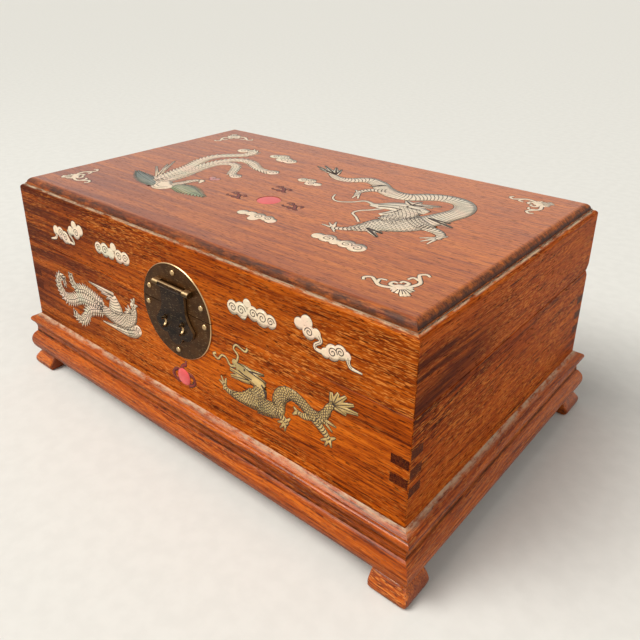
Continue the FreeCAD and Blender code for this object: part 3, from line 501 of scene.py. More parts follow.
# Inlays: smooth slips of shell in a dark mastic bed, with engraved lines rubbed black.
# A line is a list of (u, v, half width) in millimetres, drawn flat on its board.
inlayLook = dict(bed=0.42, scribe=0.28, spanSteps=5, cutSteps=4, thinnest=0.12, slipLift=0.001,
                 sprayInset=31.0)


def through(points, steps):
    # a smooth line through the points
    spots = [Vector(p) for p in points]
    ends = [2 * spots[0] - spots[1]] + spots + [2 * spots[-1] - spots[-2]]
    line = []
    for a, b, c, d in zip(ends, ends[1:], ends[2:], ends[3:]):
        for k in range(steps):
            t = k / steps
            line.append(0.5 * (2 * b + (c - a) * t + (2 * a - 5 * b + 4 * c - d) * t ** 2
                               + (3 * b - a - 3 * c + d) * t ** 3))
    line.append(spots[-1])
    return [(p.x, p.y, max(p.z, inlayLook["thinnest"])) for p in line]


def stations(line, gap):
    # even stops along a line: place, way, left hand and half width
    stops, due, run = [], gap / 2, 0.0
    for a, b in zip(line, line[1:]):
        start, end = Vector(a), Vector(b)
        step = (end - start).to_2d()
        if step.length < 1e-6:
            continue
        way = step.normalized()
        while due <= run + step.length:
            spot = start.lerp(end, (due - run) / step.length)
            stops.append((spot.to_2d(), way, Vector((-way.y, way.x)), spot.z))
            due += gap
        run += step.length
    return stops


class Drawing:
    # the slips of shell and the engraved cuts of one inlay
    def __init__(self):
        self.slips = []
        self.cuts = []

    def band(self, points, halves):
        line = through([(u, v, h) for (u, v), h in zip(points, halves)], inlayLook["spanSteps"])
        self.slips.append(line)
        return line

    def lobe(self, u, v, radius, turns=0.0, hand=1):
        arcs = [math.pi * k / 12 for k in range(13)]
        self.slips.append([(u - radius * math.cos(t), v, radius * math.sin(t)) for t in arcs])
        if turns:
            self.spiral(u, v, radius * 0.66, turns, hand)

    def fan(self, root, tips, rootHalf, tipHalf, vein=0.0):
        for tip in tips:
            middle = [(a + b) / 2 for a, b in zip(root, tip)]
            half = (rootHalf + tipHalf) * 0.55
            self.slips.append([(*root, rootHalf), (*middle, half), (*tip, tipHalf)])
            if vein:
                self.cuts.append([(*root, vein), (*middle, vein), (*tip, vein * 0.5)])

    def cut(self, points, half=None):
        half = half or inlayLook["scribe"]
        self.cuts.append(through([(u, v, half) for u, v in points], inlayLook["cutSteps"]))

    def spiral(self, u, v, radius, turns, hand):
        scribe = inlayLook["scribe"]
        line = []
        for t in [k / 18 for k in range(19)]:
            reach, angle = radius * (1 - 0.85 * t), 2 * math.pi * turns * t
            line.append((u + hand * reach * math.cos(angle), v + reach * math.sin(angle), scribe))
        self.cuts.append(line)

    def rows(self, line, gap, bulge, reach=0.86, half=None):
        # curved cuts across a band: scales, stripes or short feathers
        half = half or inlayLook["scribe"]
        for spot, way, left, wide in stations(line, gap):
            shares = (-1, -0.5, 0, 0.5, 1)
            arc = [spot + left * wide * reach * s + way * bulge * (1 - s * s) for s in shares]
            self.cuts.append([(p.x, p.y, half) for p in arc])

    def scales(self, line, gap, size):
        # rows of small arcs, each row moved by half a scale
        for row, (spot, way, left, wide) in enumerate(stations(line, gap)):
            count = max(1, round(2 * wide / size))
            for k in range(count):
                middle = (k + 0.5 * (row % 2) + 0.25 - count / 2) * size
                arc = [spot + left * (middle + s * size * 0.48) + way * gap * 0.8 * (1 - s * s)
                       for s in (-1, 0, 1)]
                self.cuts.append([(p.x, p.y, inlayLook["scribe"]) for p in arc])

    def plume(self, line, gap, sweep, spike, half):
        # a feather: a quill, barbs cut in it and slips that fray its edges
        for spot, way, left, wide in stations(line, gap):
            for side in (-1, 1):
                inner = spot + left * side * wide * 0.2
                edge = spot + left * side * wide * 0.75
                tip = spot + left * side * wide * (1 + spike) + way * sweep
                self.slips.append([(edge.x, edge.y, gap * 0.3), (tip.x, tip.y, 0.15)])
                outer = spot + left * side * wide * 0.95 + way * sweep * 0.7
                self.cuts.append([(inner.x, inner.y, half * 0.75), (outer.x, outer.y, half)])
        self.cuts.append([(u, v, half * 0.65) for u, v, wide in line])


def inlayLayer(lines, margin, flatness, lift, material):
    pick()
    bpy.ops.curve.primitive_nurbs_path_add(radius=mm)
    piece = bpy.context.object
    curve = piece.data
    curve.splines.clear()
    curve.bevel_depth = mm
    curve.bevel_resolution = 1
    curve.use_fill_caps = True
    for line in lines:
        spline = curve.splines.new("POLY")
        spline.points.add(len(line) - 1)
        for point, (u, v, half) in zip(spline.points, line):
            point.co = (u * mm, v * mm, 0.0, 1.0)
            point.radius = half + margin
    bpy.ops.object.convert(target="MESH")
    piece = bpy.context.object
    bpy.ops.object.mode_set(mode="EDIT")
    bpy.ops.mesh.select_all(action="SELECT")
    bpy.ops.mesh.remove_doubles(threshold=mergeGap)
    bpy.ops.mesh.normals_make_consistent(inside=False)
    bpy.ops.transform.resize(value=(1, 1, flatness), center_override=(0, 0, 0))
    bpy.ops.transform.translate(value=(0, 0, lift * mm))
    bpy.ops.object.mode_set(mode="OBJECT")
    bpy.ops.object.shade_smooth()
    piece.data.materials.clear()
    piece.data.materials.append(material)
    return piece


# heights over the wood, in millimetres: the top's stay inside the height of the moulded edge
reliefs = {
    "front": dict(bed=0.0006, slip=0.011, cutLift=0.085, cut=0.1),
    "top": dict(bed=0.0002, slip=0.0012, cutLift=0.017, cut=0.008),
}


def makeInlay(node, drawing, material, board, place):
    relief = reliefs[board]
    layers = [inlayLayer(drawing.slips, 0.0, relief["slip"], inlayLook["slipLift"], material),
              inlayLayer(drawing.slips, inlayLook["bed"], relief["bed"], 0.0, inlayPaints["mastic"])]
    if drawing.cuts:
        layers.append(inlayLayer(drawing.cuts, 0.0, relief["cut"], relief["cutLift"], inlayPaints["mastic"]))
    pick(*layers)
    bpy.ops.object.join()
    piece = bpy.context.object
    words = node.split("_")
    piece.name = words[1] + "".join(w.title() for w in words[2:]) + "Inlay"
    if board == "front":
        piece.rotation_euler = (math.pi / 2, 0, 0)
        piece.location = (place[0] * mm, -halfDepth * mm, place[1] * mm)
    else:
        piece.location = (place[0] * mm, place[1] * mm, topFace * mm)
    bpy.ops.object.transform_apply(location=True, rotation=True, scale=True)
    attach(piece, "case" if node.startswith("inlay_front") else "lid")
    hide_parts(node)
    return piece


def frontPhoenix():
    d = Drawing()
    for points, halves in (
            ([(8, 3), (-4, 7), (-16, 9), (-26, 7), (-32, 11), (-33, 18)], [4, 3.6, 3.4, 2.8, 2.4, 1.4]),
            ([(8, 2), (-10, 2), (-24, 0), (-34, -5), (-44, -7), (-51, -2), (-53, 5), (-49, 11), (-43, 10)],
             [4, 4, 3.8, 3.8, 3.8, 3.4, 2.8, 2.4, 1.4]),
            ([(-46, 11), (-43.8, 8.5), (-43.4, 4.5)], [2, 2, 0.9]),
            ([(6, 0), (-7, -4), (-15, -9), (-19, -16), (-26, -20.5), (-34, -18), (-34, -14)],
             [4, 3.6, 3.4, 3.4, 3, 2.4, 1])):
        d.plume(d.band(points, halves), 2.9, 2.2, 0.55, 0.48)
    body = d.band([(2, 2), (13, 0), (25, -1), (36, 1), (43, 6), (46, 12), (45.5, 16)],
                  [4, 4.6, 6.4, 6, 4.6, 3.2, 2.6])
    d.scales(body, 1.7, 2.2)
    d.lobe(45.3, 16.4, 3)
    d.cuts.append([(46.0, 17.0, 0.7), (46.5, 17.1, 0.6)])
    d.fan((45.5, 17), [(51, 18.4)], 1.6, 0.3, 0.18)
    d.fan((46, 18), [(47.5, 23.2), (44, 21.5)], 1.1, 0.7, 0.2)
    d.fan((42, 9), [(34, 8), (35.5, 12), (39, 15.5)], 2.2, 0.4, 0.25)
    farWing = d.band([(24, 3), (23.5, 9), (22, 17)], [9, 7.5, 3])
    d.rows(farWing, 2.2, -1.2, 0.9)
    d.fan((23, 17), [(-8, 18.6), (2, 16.4), (7, 14.4), (13, 11.4)], 2.4, 0.35, 0.25)
    nearWing = d.band([(49, -1.5), (43, -4.5), (34, -7.5), (22, -8.7), (5, -9.6)], [3.8, 4.8, 3.4, 1.9, 0.4])
    d.cut([(45, -2.5), (36, -5.6), (22, -7.6), (8, -9)])
    d.cut([(44, -6), (34, -8.6), (22, -9.4)])
    d.rows(nearWing[:10], 2.0, 1.0, 0.8)
    d.lobe(48.4, -1.6, 4.1, 1.3)
    return d


def claw(d, root, tips):
    d.fan(root, tips, 1.3, 0.35)


def frontDragon():
    d = Drawing()
    body = d.band([(-16, -10.5), (-6, -10), (1, -7), (2, 0), (5.5, 5.5), (12, 8), (19, 6), (25, 2.5),
                   (31, 1.5), (35.5, 6), (38.5, 12), (42, 16)],
                  [7.2, 5.4, 4.8, 4.8, 4.6, 3.8, 3.6, 3.7, 3.8, 2.7, 2.1, 1.5])
    d.scales(body, 1.6, 1.9)
    neck = d.band([(-13, 2), (-14, -4), (-18, -9), (-28, -13), (-39, -14)], [5, 5.5, 7.2, 4, 2])
    d.scales(neck, 1.7, 2.0)
    d.band([(-33, 8), (-26, 7), (-17, 5), (-11, 1)], [2.4, 4.6, 4.8, 4.4])
    d.lobe(-34, 10, 2.4)
    d.cut([(-32, 11), (-27, 10.5), (-22, 9)], 0.4)
    d.cut([(-31, 6), (-26, 4.5), (-20, 4)], 0.5)
    d.cuts.append([(-26.4, 8.4, 0.9), (-25.4, 8.2, 0.8)])
    d.fan((-22, 2.5), [(-38.5, 4), (-38, -0.6)], 2.6, 1.0, 0.3)
    d.fan((-22, 9), [(-9.5, 11.4), (-8, 6.4)], 2, 0.4, 0.5)
    d.cut([(-12, 4), (-9, 0), (-9, -4)], 0.7)
    d.band([(-33, 10), (-31, 16), (-34.5, 19.5), (-32, 23), (-25, 21.2), (-22.6, 24)],
           [0.9, 0.7, 0.6, 0.6, 0.6, 0.8])
    d.band([(-33, 8), (-38, 6.5), (-41.5, 10.4), (-45.4, 10.6), (-49, 6.6), (-53, 8.6), (-50.6, 10.2)],
           [0.9, 0.7, 0.6, 0.6, 0.6, 0.6, 0.8])
    for leg, halves in (([(-36, -14), (-42, -13), (-44.5, -10)], [2.4, 1.8, 1.4]),
                        ([(-2, -9), (6, -12), (8, -14.5)], [3, 2, 1.6]),
                        ([(28, 0), (34, -4.5), (39, -9)], [3, 2.4, 1.8]),
                        ([(26, 0), (20, -2.4), (15, -1.4)], [2.4, 1.8, 1.2])):
        d.rows(d.band(leg, halves), 1.8, 0.6)
    claw(d, (-44, -11), [(-49, -8.5), (-47, -4.6), (-42.6, -4.8), (-45.5, -14.5)])
    claw(d, (7, -13), [(0.5, -16), (2.4, -19.4), (6, -19.8), (10.5, -9)])
    claw(d, (39, -8.5), [(33, -12), (36, -14.5), (40.5, -13.5), (43.4, -5.6)])
    claw(d, (33, 3), [(43.6, 1.6), (41, -2.8)])
    claw(d, (16, -1.6), [(12.4, -5), (13, 0.6)])
    d.fan((41, 15), [(39.6, 22.5), (44.5, 24), (49.5, 24), (54.5, 21), (57.5, 16.8), (50, 13)],
          2.3, 0.8, 0.24)
    return d


def frontFlames():
    d = Drawing()
    d.band([(-4, 4), (-8, 3), (-11, -1.6), (-7.5, -4.5), (-4, -5)], [1, 0.9, 0.9, 0.9, 1])
    d.band([(4, 4), (9, 3.4), (11, -0.6), (7.6, -4), (4, -5)], [1, 0.9, 0.9, 0.9, 1])
    d.band([(-2, 5), (-0.4, 8.4), (2.6, 10.2), (3, 13.4)], [1.2, 1, 0.9, 0.5])
    d.cut([(-6, 3.6), (-9.6, 1), (-8, -3.4)], 0.2)
    d.cut([(6, 3.8), (9.6, 1.6), (8.4, -2.6)], 0.2)
    return d


# clouds: board, place, (u, v, radius) of the lobes, and tails; a larger lobe carries a spiral
cloudLook = dict(spiralOver=4.2, turns=1.5, tailCut=0.16)
clouds = {
    "inlay_lid_cloud_inner_left": ("front", (-63.0, 134.8), [
        (-15.5, -0.8, 4.3), (-8, -0.6, 5.2), (-1, -1.5, 4.2), (2.5, 4, 3.4), (8.5, -1, 5),
        (15.5, -0.6, 4.8)], []),
    "inlay_lid_cloud_inner_right": ("front", (71.0, 134.8), [
        (-14.5, -1, 4.6), (-7.5, -0.6, 5.2), (-2.6, 5, 3.2), (2, 0.4, 4.7), (9, 0, 5.6), (15.5, 0, 4.3),
        (-6.4, -3.4, 2.8)], []),
    "inlay_lid_cloud_outer_left": ("front", (-121.0, 134.8), [
        (-13, -2, 4), (-7, -2.5, 4.8), (-1, -4.5, 4.8), (2.6, -6, 2.8), (8, 3, 3.6), (13, 8.4, 3.3),
        (15, 3, 4.8), (20, 6, 4.2)], [
        ([(4.6, 3), (5.5, -0.6), (9.6, -4.6), (10, -6.8), (4, -6.8)], [1.6, 1.1, 1, 0.9, 1]),
        ([(-13, -4), (-14.6, -8.2), (-22, -10.6)], [1.3, 1.1, 0.4])]),
    "inlay_lid_cloud_outer_right": ("front", (125.5, 134.8), [
        (-18, 7, 3.6), (-13, 9.6, 4), (-11.4, 4, 4.4), (-6.4, 5, 3), (0, -4, 3), (4.6, -2, 4.8),
        (9.6, 0, 4.3), (13.6, -0.6, 2.8)], [
        ([(-5, 4.4), (-3.4, 1.2), (-7, -1.8), (-6.4, -4.2), (-1, -4.4)], [1.6, 1.1, 1, 1, 1.4]),
        ([(14.4, -1), (15, -4.4), (17, -6.4), (23.6, -6.8)], [1.4, 1, 0.9, 0.4])]),
    "inlay_top_cloud_back_left": ("top", (-60.0, 57.0), [
        (-11, 2, 5.2), (-5, 5, 5.5), (1, -1, 7), (8.6, -2, 5.8)], []),
    "inlay_top_cloud_back": ("top", (-1.2, 22.0), [
        (-7.5, 1, 4.6), (-2, 2.5, 4.5), (2, -2.5, 4.6), (7.5, -1.5, 3.6)], []),
    "inlay_top_cloud_front": ("top", (21.0, -58.0), [
        (-13, 0, 4), (-7, 1.6, 3.8), (0, 0.6, 5.5), (0, -3.8, 4), (7.6, 1.6, 4.5), (12, 0, 4)], []),
    "inlay_top_cloud_front_right": ("top", (88.4, -58.0), [
        (-16, 0, 4.2), (-9, 0.6, 5.6), (-2, -1, 4), (5, 0.6, 5.5), (13, 0, 6)], []),
}


def cloud(lobes, tails):
    d = Drawing()
    for k, (u, v, radius) in enumerate(lobes):
        turns = cloudLook["turns"] if radius > cloudLook["spiralOver"] else 0.0
        d.lobe(u, v, radius, turns, 1 if k % 2 else -1)
    for points, halves in tails:
        d.band(points, halves)
        d.cut(points[:-1], cloudLook["tailCut"])
    return d


def topPhoenix():
    d = Drawing()
    for points, halves in (
            ([(0, -38), (-5, -15), (-10, 5), (-17, 22.5), (-18, 38.5), (-11.5, 49), (-2, 59), (-2, 70),
              (-10, 74)],
             [6, 6, 5, 4.4, 4, 4, 4, 4, 3]),
            ([(2, -38), (1, -15.5), (-3, 8.5), (-3, 28.5), (2, 41.5), (11, 46.5), (22, 44.5), (35, 37),
              (48, 34.5)], [6, 6, 4.4, 4, 4, 4, 3.6, 3, 3]),
            ([(4, -38), (3, -14), (0, 10), (1, 24), (8, 32), (17, 30.5), (24, 22), (30, 13), (36, 10)],
             [6, 5, 3.6, 3.2, 3.2, 3, 2.8, 2.6, 2.6])):
        line = d.band(points, halves)
        d.plume(line, 3.8, 3.4, 0.45, 0.24)
    for u, v, radius in ((-13, 69, 6), (52, 36, 5.4), (37.6, 10, 4.6)):
        d.lobe(u, v, radius, 1.4)
    d.band([(2, -34), (8, -38), (14, -42)], [7, 7.5, 8])
    d.lobe(14, -42, 8.6)
    d.cut([(7, -46), (13, -48), (20, -45)])
    d.cut([(8, -43), (13, -44.5), (19, -41.5)])
    neck = d.band([(17, -38), (20, -27), (22, -19), (27, -15), (29.5, -20)], [4.4, 3.4, 2.8, 2.2, 0.7])
    d.scales(neck[:14], 2.4, 2.6)
    d.cuts.append([(24.6, -16.4, 0.8), (25.4, -16.2, 0.7)])
    d.fan((-8, -30), [(-33, 8), (-30, -2), (-32, -12)], 1.5, 0.5, 0.3)
    return d


def topWing(points, halves):
    d = Drawing()
    line = d.band(points, halves)
    d.plume(line, 2.8, 3.4, 0.3, 0.36)
    return d


def topFlower():
    d = Drawing()
    for u, v, radius in ((-2.6, 0.8, 2.6), (2.6, 0.6, 2.6), (0, -1.8, 2.4)):
        d.lobe(u, v, radius)
        d.cut([(0, 0), (u * 0.6, v * 0.6), (u, v)], 0.2)
    return d


def topDragon():
    d = Drawing()
    body = d.band([(-78, 37), (-66, 31.5), (-56, 34), (-46, 42.5), (-34, 39.5), (-24, 31.5), (-12, 26.5),
                   (0, 28.5), (10, 37), (20, 42), (32, 41.5), (40, 34), (42.5, 22), (39, 8), (35, -4),
                   (27, -16)],
                  [2.4, 3.8, 5, 5.8, 6.4, 7, 7.4, 7.4, 7.4, 7.4, 7.4, 7.4, 7.6, 8.2, 9.4, 11])
    d.rows(body, 2.7, 1.2, 0.9, 0.28)
    chest = d.band([(35, -6), (26, -19), (16.5, -30), (11, -40), (5, -48)], [11, 13, 11, 7, 3.2])
    d.scales(chest, 2.6, 2.9)
    d.band([(26, 8), (12, 8.5), (2, 4.5), (-6, -0.5), (-12, -2.5)], [4, 8, 8, 4.6, 2.4])
    d.cut([(-8, 1), (0, 6), (9, 9), (20, 9)], 0.5)
    d.cut([(-6, -2), (2, 1.6), (10, 2.6)], 0.7)
    d.cuts.append([(8.4, 10.6, 1.1), (10.0, 11.0, 1.0)])
    d.band([(10, 6.5), (9, -5), (4, -15)], [6, 4, 2])
    d.cut([(9, 2), (8, -6), (5, -13)], 0.5)
    neck = d.band([(14, 10), (17, -6), (14, -22)], [9, 8, 8])
    d.scales(neck, 2.6, 2.9)
    d.fan((10, 14.5), [(2, 20.5), (12, 24.5), (27, 24.5), (24, 18.5)], 4, 1, 0.8)
    d.band([(-9, -1.5), (-19, 1), (-25, -6.6), (-33, -11.6), (-40, -8.6), (-44, -0.4)],
           [1.6, 1.1, 0.9, 0.8, 0.7, 0.5])
    d.band([(1, 1), (-4.5, -10), (-10.5, -17.5), (-11, -24), (-5, -28.6), (2, -35)],
           [1.6, 1.1, 0.9, 0.8, 0.8, 0.8])
    for leg, halves in (([(10, -42), (3, -50), (-5, -54)], [3.6, 2.6, 1.8]),
                        ([(34, -16), (46, -17), (53, -21), (55, -28)], [5, 4, 3, 1.8]),
                        ([(-20, 30), (-30, 24), (-34, 15), (-31, 6)], [4, 3, 2.2, 1.4])):
        d.rows(d.band(leg, halves), 2.6, 0.8, 0.9, 0.36)
    claw(d, (-4, -53.5), [(-13.5, -53), (-11.5, -48), (-8.6, -44.6), (0.6, -58.4)])
    claw(d, (54.4, -26), [(45.6, -33), (49, -37.6), (54, -38.6), (57.6, -20)])
    claw(d, (-32.6, 12), [(-39, 17), (-26, 2), (-30, 0.6)])
    d.fan((32, 0), [(52.6, -6), (48, 0)], 3, 0.6, 1.1)
    d.fan((12, -40), [(26, -49), (25, -42)], 3, 0.6, 1.1)
    d.fan((-28, 40), [(-36, 30), (-38, 34)], 2.4, 0.6, 0.9)
    d.fan((-74, 38), [(-96, 52), (-94, 42), (-86, 54), (-79, 52), (-100, 47)], 2.6, 0.5, 0.8)
    return d


def topFlames():
    d = Drawing()
    for u, v in ((-24, -8), (-9, 23), (22, 0)):
        d.band([(u - 5, v + 2), (u - 1, v + 3.4), (u + 2, v), (u, v - 3), (u - 2.4, v - 1.4)],
               [0.6, 0.95, 1.15, 1.15, 0.9])
        d.band([(u + 1.6, v + 0.6), (u + 4, v - 2.6), (u + 7, v - 3.4)], [1.25, 1.1, 0.5])
        d.band([(u + 0.6, v + 2), (u + 3.4, v + 5), (u + 6.4, v + 3.4), (u + 5, v + 1.6)],
               [0.6, 0.6, 0.5, 0.7])
        d.band([(u - 2, v + 3), (u - 4.6, v + 6), (u - 7.4, v + 4.6), (u - 6.6, v + 2.8)],
               [0.6, 0.6, 0.5, 0.7])
        d.band([(u - 2, v - 1.6), (u - 6, v - 2.6), (u - 8.4, v - 0.6)], [0.6, 0.5, 0.3])
    return d


def cornerSpray(sx, sy):
    # a lotus that points to the corner, with two scrolled arms
    d = Drawing()
    arm = [(-1, 3), (-9, 5.5), (-14, 2.5), (-18, 0), (-21, 2.5), (-19.5, 5.5)]
    leaf = [(-12, 3.6), (-13.2, -0.8), (-9.6, -2)]
    curl = [(-1, 1), (-5.6, 1.2), (-6, -2.4), (-3.4, -2.6)]
    d.lobe(0, sy * 0.4, 3.2)
    petals = [(2.2, 7.6), (6.2, 9), (7.8, 7.8), (9, 6.2), (7.6, 2.2)]
    d.fan((0, 0), [(sx * u, sy * v) for u, v in petals], 1.5, 0.9)
    for angle, length in ((-22, 6.6), (-2, 8), (92, 8), (112, 6.6)):
        u, v = sx * math.cos(math.radians(angle)), sy * math.sin(math.radians(angle))
        d.band([(u * length * s, v * length * s) for s in (0.25, 0.65, 1)], [0.8, 1.4, 0.3])
    for angle in (7, 25, 39, 51, 65, 83):
        u, v = sx * math.cos(math.radians(angle)), sy * math.sin(math.radians(angle))
        d.cut([(u * s, v * s) for s in (3.4, 6, 8.6)], 0.26)
    for points, halves in ((arm, [1.3, 1.2, 1.1, 1, 1, 0.7]), (leaf, [0.9, 0.9, 0.7]),
                           (curl, [1.4, 1.1, 0.9, 0.8])):
        d.band([(sx * u, sy * v) for u, v in points], halves)
        d.band([(sx * v, sy * u) for u, v in points], halves)
    return d


def makeInlays():
    p = inlayPaints
    makeInlay("inlay_front_phoenix", frontPhoenix(), p["cream"], "front", (-90.0, 83.0))
    makeInlay("inlay_front_dragon", frontDragon(), p["gold"], "front", (90.0, 86.0))
    makeInlay("inlay_front_flames", frontFlames(), p["ruby"], "front", (6.0, 64.3))
    print("front inlays drawn")
    for node, (board, place, lobes, tails) in clouds.items():
        makeInlay(node, cloud(lobes, tails), p["cream"], board, place)
    print("clouds drawn")
    bird = (-92.5, -14.0)
    makeInlay("inlay_top_phoenix", topPhoenix(), p["cream"], "top", bird)
    leftWing = topWing([(8, -43), (-6, -40), (-20, -36), (-32, -31)], [5, 6.4, 4.4, 0.6])
    rightWing = topWing([(20, -36), (32, -36), (44, -38), (56, -39.5)], [5, 7.4, 5, 0.6])
    makeInlay("inlay_top_phoenix_left_wing", leftWing, p["teal"], "top", bird)
    makeInlay("inlay_top_phoenix_right_wing", rightWing, p["green"], "top", bird)
    makeInlay("inlay_top_flower", topFlower(), p["rose"], "top", (-62.5, -19.5))
    makeInlay("inlay_top_dragon", topDragon(), p["grey"], "top", (75.0, 12.0))
    makeInlay("inlay_top_flames", topFlames(), p["plum"], "top", (4.0, -29.0))
    sprayX, sprayY = halfWidth - inlayLook["sprayInset"], halfDepth - inlayLook["sprayInset"]
    for sy, end in ((-1, "front"), (1, "back")):
        for sx, hand in ((-1, "left"), (1, "right")):
            makeInlay("inlay_top_spray_" + end + "_" + hand, cornerSpray(sx, sy), p["cream"], "top",
                      (sx * sprayX, sy * sprayY))
    print("top inlays drawn")


# Feet: the bracket feet of the frame, evened to a grid and smoothed so that their corners are worn round
footLook = dict(grid=0.7, rounds=64, pull=0.5, flat=1.0, crease=35)


def roundFeet():
    look = footLook
    for end, hand in corners:
        node = "foot_" + end + "_" + hand
        foot = nodes[node].copy()
        foot.data = nodes[node].data.copy()
        foot.parent = None
        bpy.context.collection.objects.link(foot)
        foot.name = end + hand.title() + "Foot"
        for key in list(foot.keys()):
            del foot[key]
        pick(foot)
        bpy.ops.object.mode_set(mode="EDIT")
        bpy.ops.mesh.select_all(action="SELECT")
        bpy.ops.mesh.remove_doubles(threshold=mergeGap)
        bpy.ops.mesh.dissolve_limited(angle_limit=math.radians(look["flat"]))
        bpy.ops.object.mode_set(mode="OBJECT")
        grid = foot.modifiers.new("evenGrid", "REMESH")
        grid.mode = "VOXEL"
        grid.voxel_size = look["grid"] * mm
        bpy.ops.object.modifier_apply(modifier=grid.name)
        worn = foot.modifiers.new("wornCorners", "SMOOTH")
        worn.factor = look["pull"]
        worn.iterations = look["rounds"]
        bpy.ops.object.modifier_apply(modifier=worn.name)
        bpy.ops.object.shade_smooth_by_angle(angle=math.radians(look["crease"]))
        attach(foot, "case")
        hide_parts(node)
    print("feet rounded")


# Round heads and stones, raised ring by ring from a disc: (inset, rise) of each ring in shares of the radius
def raiseDisc(radius, depth, rings, sides):
    pick()
    bpy.ops.mesh.primitive_circle_add(vertices=sides, radius=radius * mm, fill_type="NGON")
    piece = bpy.context.object
    bpy.ops.object.mode_set(mode="EDIT")
    bpy.ops.mesh.select_all(action="SELECT")
    bpy.ops.mesh.extrude_region_move(TRANSFORM_OT_translate={"value": (0, 0, depth * mm)})
    for inset, rise in rings:
        bpy.ops.mesh.inset(thickness=inset * radius * mm)
        bpy.ops.transform.translate(value=(0, 0, rise * radius * mm))
    bpy.ops.mesh.select_all(action="SELECT")
    bpy.ops.mesh.normals_make_consistent(inside=False)
    bpy.ops.object.mode_set(mode="OBJECT")
    bpy.ops.object.shade_smooth_by_angle(angle=creaseAngle)
    return piece


creaseAngle = math.radians(50)  # sharper edges than this stay sharp on the round pieces
domeRings = [(0.12, 0.16), (0.16, 0.12), (0.2, 0.08), (0.22, 0.04), (0.15, 0.01)]


def standOnFront(piece, x, y, z):
    pick(piece)
    piece.rotation_euler = (math.pi / 2, 0, 0)
    piece.location = (x * mm, y * mm, z * mm)
    bpy.ops.object.transform_apply(location=True, rotation=True, scale=True)


nailLook = dict(radius=1.9, depth=0.4, sides=24, ring=27.5, upper=(24, 90, 156), lower=(-2, -90, 182))


def makeNails(worn):
    look = nailLook
    for half, body in (("upper", "lid"), ("lower", "case")):
        heads = []
        for angle in look[half]:
            head = raiseDisc(look["radius"], look["depth"], domeRings, look["sides"])
            turn = math.radians(angle)
            across, up = look["ring"] * math.cos(turn), look["ring"] * math.sin(turn)
            standOnFront(head, lockX + across, plateFace, lockZ + up)
            heads.append(head)
        pick(*heads)
        bpy.ops.object.join()
        nails = bpy.context.object
        nails.name = half + "PlateNails"
        nails.data.materials.append(worn)
        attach(nails, body)
        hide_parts("lock_nails_" + half)
    print("nails made")


stapleLook = dict(wire=0.9, bend=3.1, leg=4.6, root=6.0, apart=17.0, drop=8.4, sides=14, steps=18)


def makeStaples(worn):
    # round wire: a ring drawn out to a leg, spun round the eye and drawn back
    look = stapleLook
    for hand, side in (("left", -1), ("right", 1)):
        pick()
        bpy.ops.mesh.primitive_circle_add(vertices=look["sides"], radius=look["wire"] * mm, fill_type="NGON",
                                          location=(0, -look["bend"] * mm, -look["root"] * mm))
        staple = bpy.context.object
        bpy.ops.object.transform_apply(location=True, rotation=True, scale=True)
        bpy.ops.object.mode_set(mode="EDIT")
        bpy.ops.mesh.select_all(action="SELECT")
        out = (look["root"] + look["leg"]) * mm
        bpy.ops.mesh.extrude_region_move(TRANSFORM_OT_translate={"value": (0, 0, out)})
        bpy.ops.mesh.spin(steps=look["steps"], angle=math.pi, center=(0, 0, look["leg"] * mm),
                          axis=(-1, 0, 0))
        bpy.ops.mesh.extrude_region_move(TRANSFORM_OT_translate={"value": (0, 0, -out)})
        bpy.ops.mesh.select_all(action="SELECT")
        bpy.ops.mesh.remove_doubles(threshold=mergeGap)
        bpy.ops.mesh.normals_make_consistent(inside=False)
        bpy.ops.object.mode_set(mode="OBJECT")
        bpy.ops.object.shade_smooth_by_angle(angle=creaseAngle)
        staple.name = hand + "Staple"
        staple.data.materials.append(worn)
        standOnFront(staple, lockX + side * look["apart"] / 2, plateFace, lockZ - look["drop"])
        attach(staple, "case")
        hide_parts("lock_staple_" + hand)
    print("staples bent")


pearlLook = dict(frontRadius=6.2, frontDepth=0.1, topRadius=8.4, topDepth=0.3, topFlatness=0.2, topStand=0.01,
                 sides=48)
stoneRings = [(0.08, 0.06), (0.12, 0.045), (0.2, 0.03), (0.25, 0.015), (0.2, 0.005)]


def makePearls():
    look = pearlLook
    low, high = nodeBox("inlay_front_pearl")
    front = raiseDisc(look["frontRadius"], look["frontDepth"], stoneRings, look["sides"])
    front.name = "frontPearl"
    standOnFront(front, (low[0] + high[0]) / 2, -halfDepth, (low[2] + high[2]) / 2)
    low, high = nodeBox("inlay_top_pearl")
    flat = [(inset, rise * look["topFlatness"]) for inset, rise in stoneRings]
    top = raiseDisc(look["topRadius"], look["topDepth"], flat, look["sides"])
    top.name = "topPearl"
    crown = look["topDepth"] + look["topRadius"] * sum(rise for inset, rise in flat)
    top.location = ((low[0] + high[0]) / 2 * mm, (low[1] + high[1]) / 2 * mm,
                    (topFace + look["topStand"] - crown) * mm)
    bpy.ops.object.transform_apply(location=True, rotation=True, scale=True)
    for pearl, node, body in ((front, "inlay_front_pearl", "case"), (top, "inlay_top_pearl", "lid")):
        pearl.data.materials.append(inlayPaints["coral"])
        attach(pearl, body)
        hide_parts(node)
    print("pearls set")


# Floor, light and camera
stageLook = dict(
    floor=tint(226, 226, 222), floorDull=tint(222, 222, 218), floorSize=30.0,
    world=tint(228, 227, 222), worldLight=0.37, aim=(0, 0, 0.08),
)
# kind, place, angle of a sun or width of a disc, power, colour
lampLooks = {
    "keyLight": ("SUN", (-0.8, -1.2, 2.0), math.radians(40), 2.5, (1.0, 0.96, 0.9)),
    "sideLight": ("SUN", (1.6, -0.3, 1.0), math.radians(60), 0.7, (1.0, 0.97, 0.93)),
    "glossLight": ("AREA", (-0.5, -1.1, 1.3), 0.7, 6.0, (1.0, 0.98, 0.95)),
}


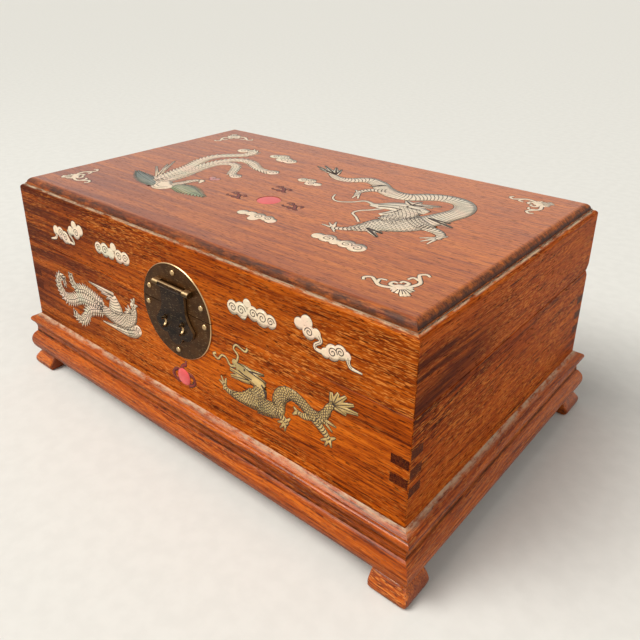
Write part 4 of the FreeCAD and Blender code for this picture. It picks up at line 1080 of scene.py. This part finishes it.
def makeStage():
    pick()
    bpy.ops.mesh.primitive_circle_add(vertices=96, radius=stageLook["floorSize"], fill_type="NGON")
    floor = bpy.context.object
    floor.name = "studioFloor"
    f = Finish("floorPaint")
    grain = f.noise(f.place(), 90, 3)
    colour = f.mix(grain.rise(0.3, 0.7), stageLook["floor"], stageLook["floorDull"])
    f.surface({"Base Color": colour, "Roughness": 0.8, "Specular IOR Level": 0.2})
    floor.data.materials.append(f.material)

    # the camera and reflections see the full backdrop, other light is dimmed
    sky = Finish("studioWorld", "World")
    bpy.context.scene.world = sky.material
    seenStraight = sky.node("ShaderNodeLightPath", out="Is Camera Ray")
    seenInGloss = sky.node("ShaderNodeLightPath", out="Is Glossy Ray")
    lit = sky.node("ShaderNodeBackground", None, {
        "Color": stageLook["world"], "Strength": stageLook["worldLight"]})
    seen = sky.node("ShaderNodeBackground", None, {"Color": stageLook["world"]})
    sky.show(sky.node("ShaderNodeMixShader", None, [seenStraight.most(seenInGloss), lit, seen]))

    for name, (kind, spot, size, power, colour) in lampLooks.items():
        aim = Vector(stageLook["aim"]) - Vector(spot)
        bpy.ops.object.light_add(type=kind, location=spot, rotation=aim.to_track_quat("-Z", "Y").to_euler())
        lamp = bpy.context.object
        lamp.name = name
        if kind == "SUN":
            lamp.data.angle = size
        else:
            lamp.data.shape = "DISK"
            lamp.data.size = size
        lamp.data.energy = power
        lamp.data.color = colour
    print("stage set")


# The camera stands where the photograph was taken from
cameraPlace = dict(
    spot=(0.31178, -0.34921, 0.31499), azimuth=41.065, downward=23.508, roll=-0.084,
    focal=671.52, centre=(300.12, 256.75), picture=640.0, sensor=36.0,
)


def makeCamera():
    c = cameraPlace
    bpy.ops.object.camera_add(location=c["spot"])
    camera = bpy.context.object
    camera.name = "photoCamera"
    turn = Euler((math.radians(90 - c["downward"]), 0, math.radians(c["azimuth"]))).to_matrix()
    turn = turn @ Matrix.Rotation(math.radians(c["roll"]), 3, "Z")
    camera.rotation_euler = turn.to_euler()
    camera.data.sensor_width = c["sensor"]
    camera.data.lens = c["focal"] * c["sensor"] / c["picture"]
    camera.data.shift_x = (c["picture"] / 2 - c["centre"][0]) / c["picture"]
    camera.data.shift_y = (c["centre"][1] - c["picture"] / 2) / c["picture"]
    camera.data.clip_start = 0.02
    bpy.context.scene.camera = camera
    print("camera set")


woodFinishes()
wornBrass = metalFinishes()
inlayFinishes()
makeInlays()
roundFeet()
makeNails(wornBrass)
makeStaples(wornBrass)
makePearls()
makeStage()
makeCamera()
bpy.context.scene.view_settings.view_transform = "Standard"
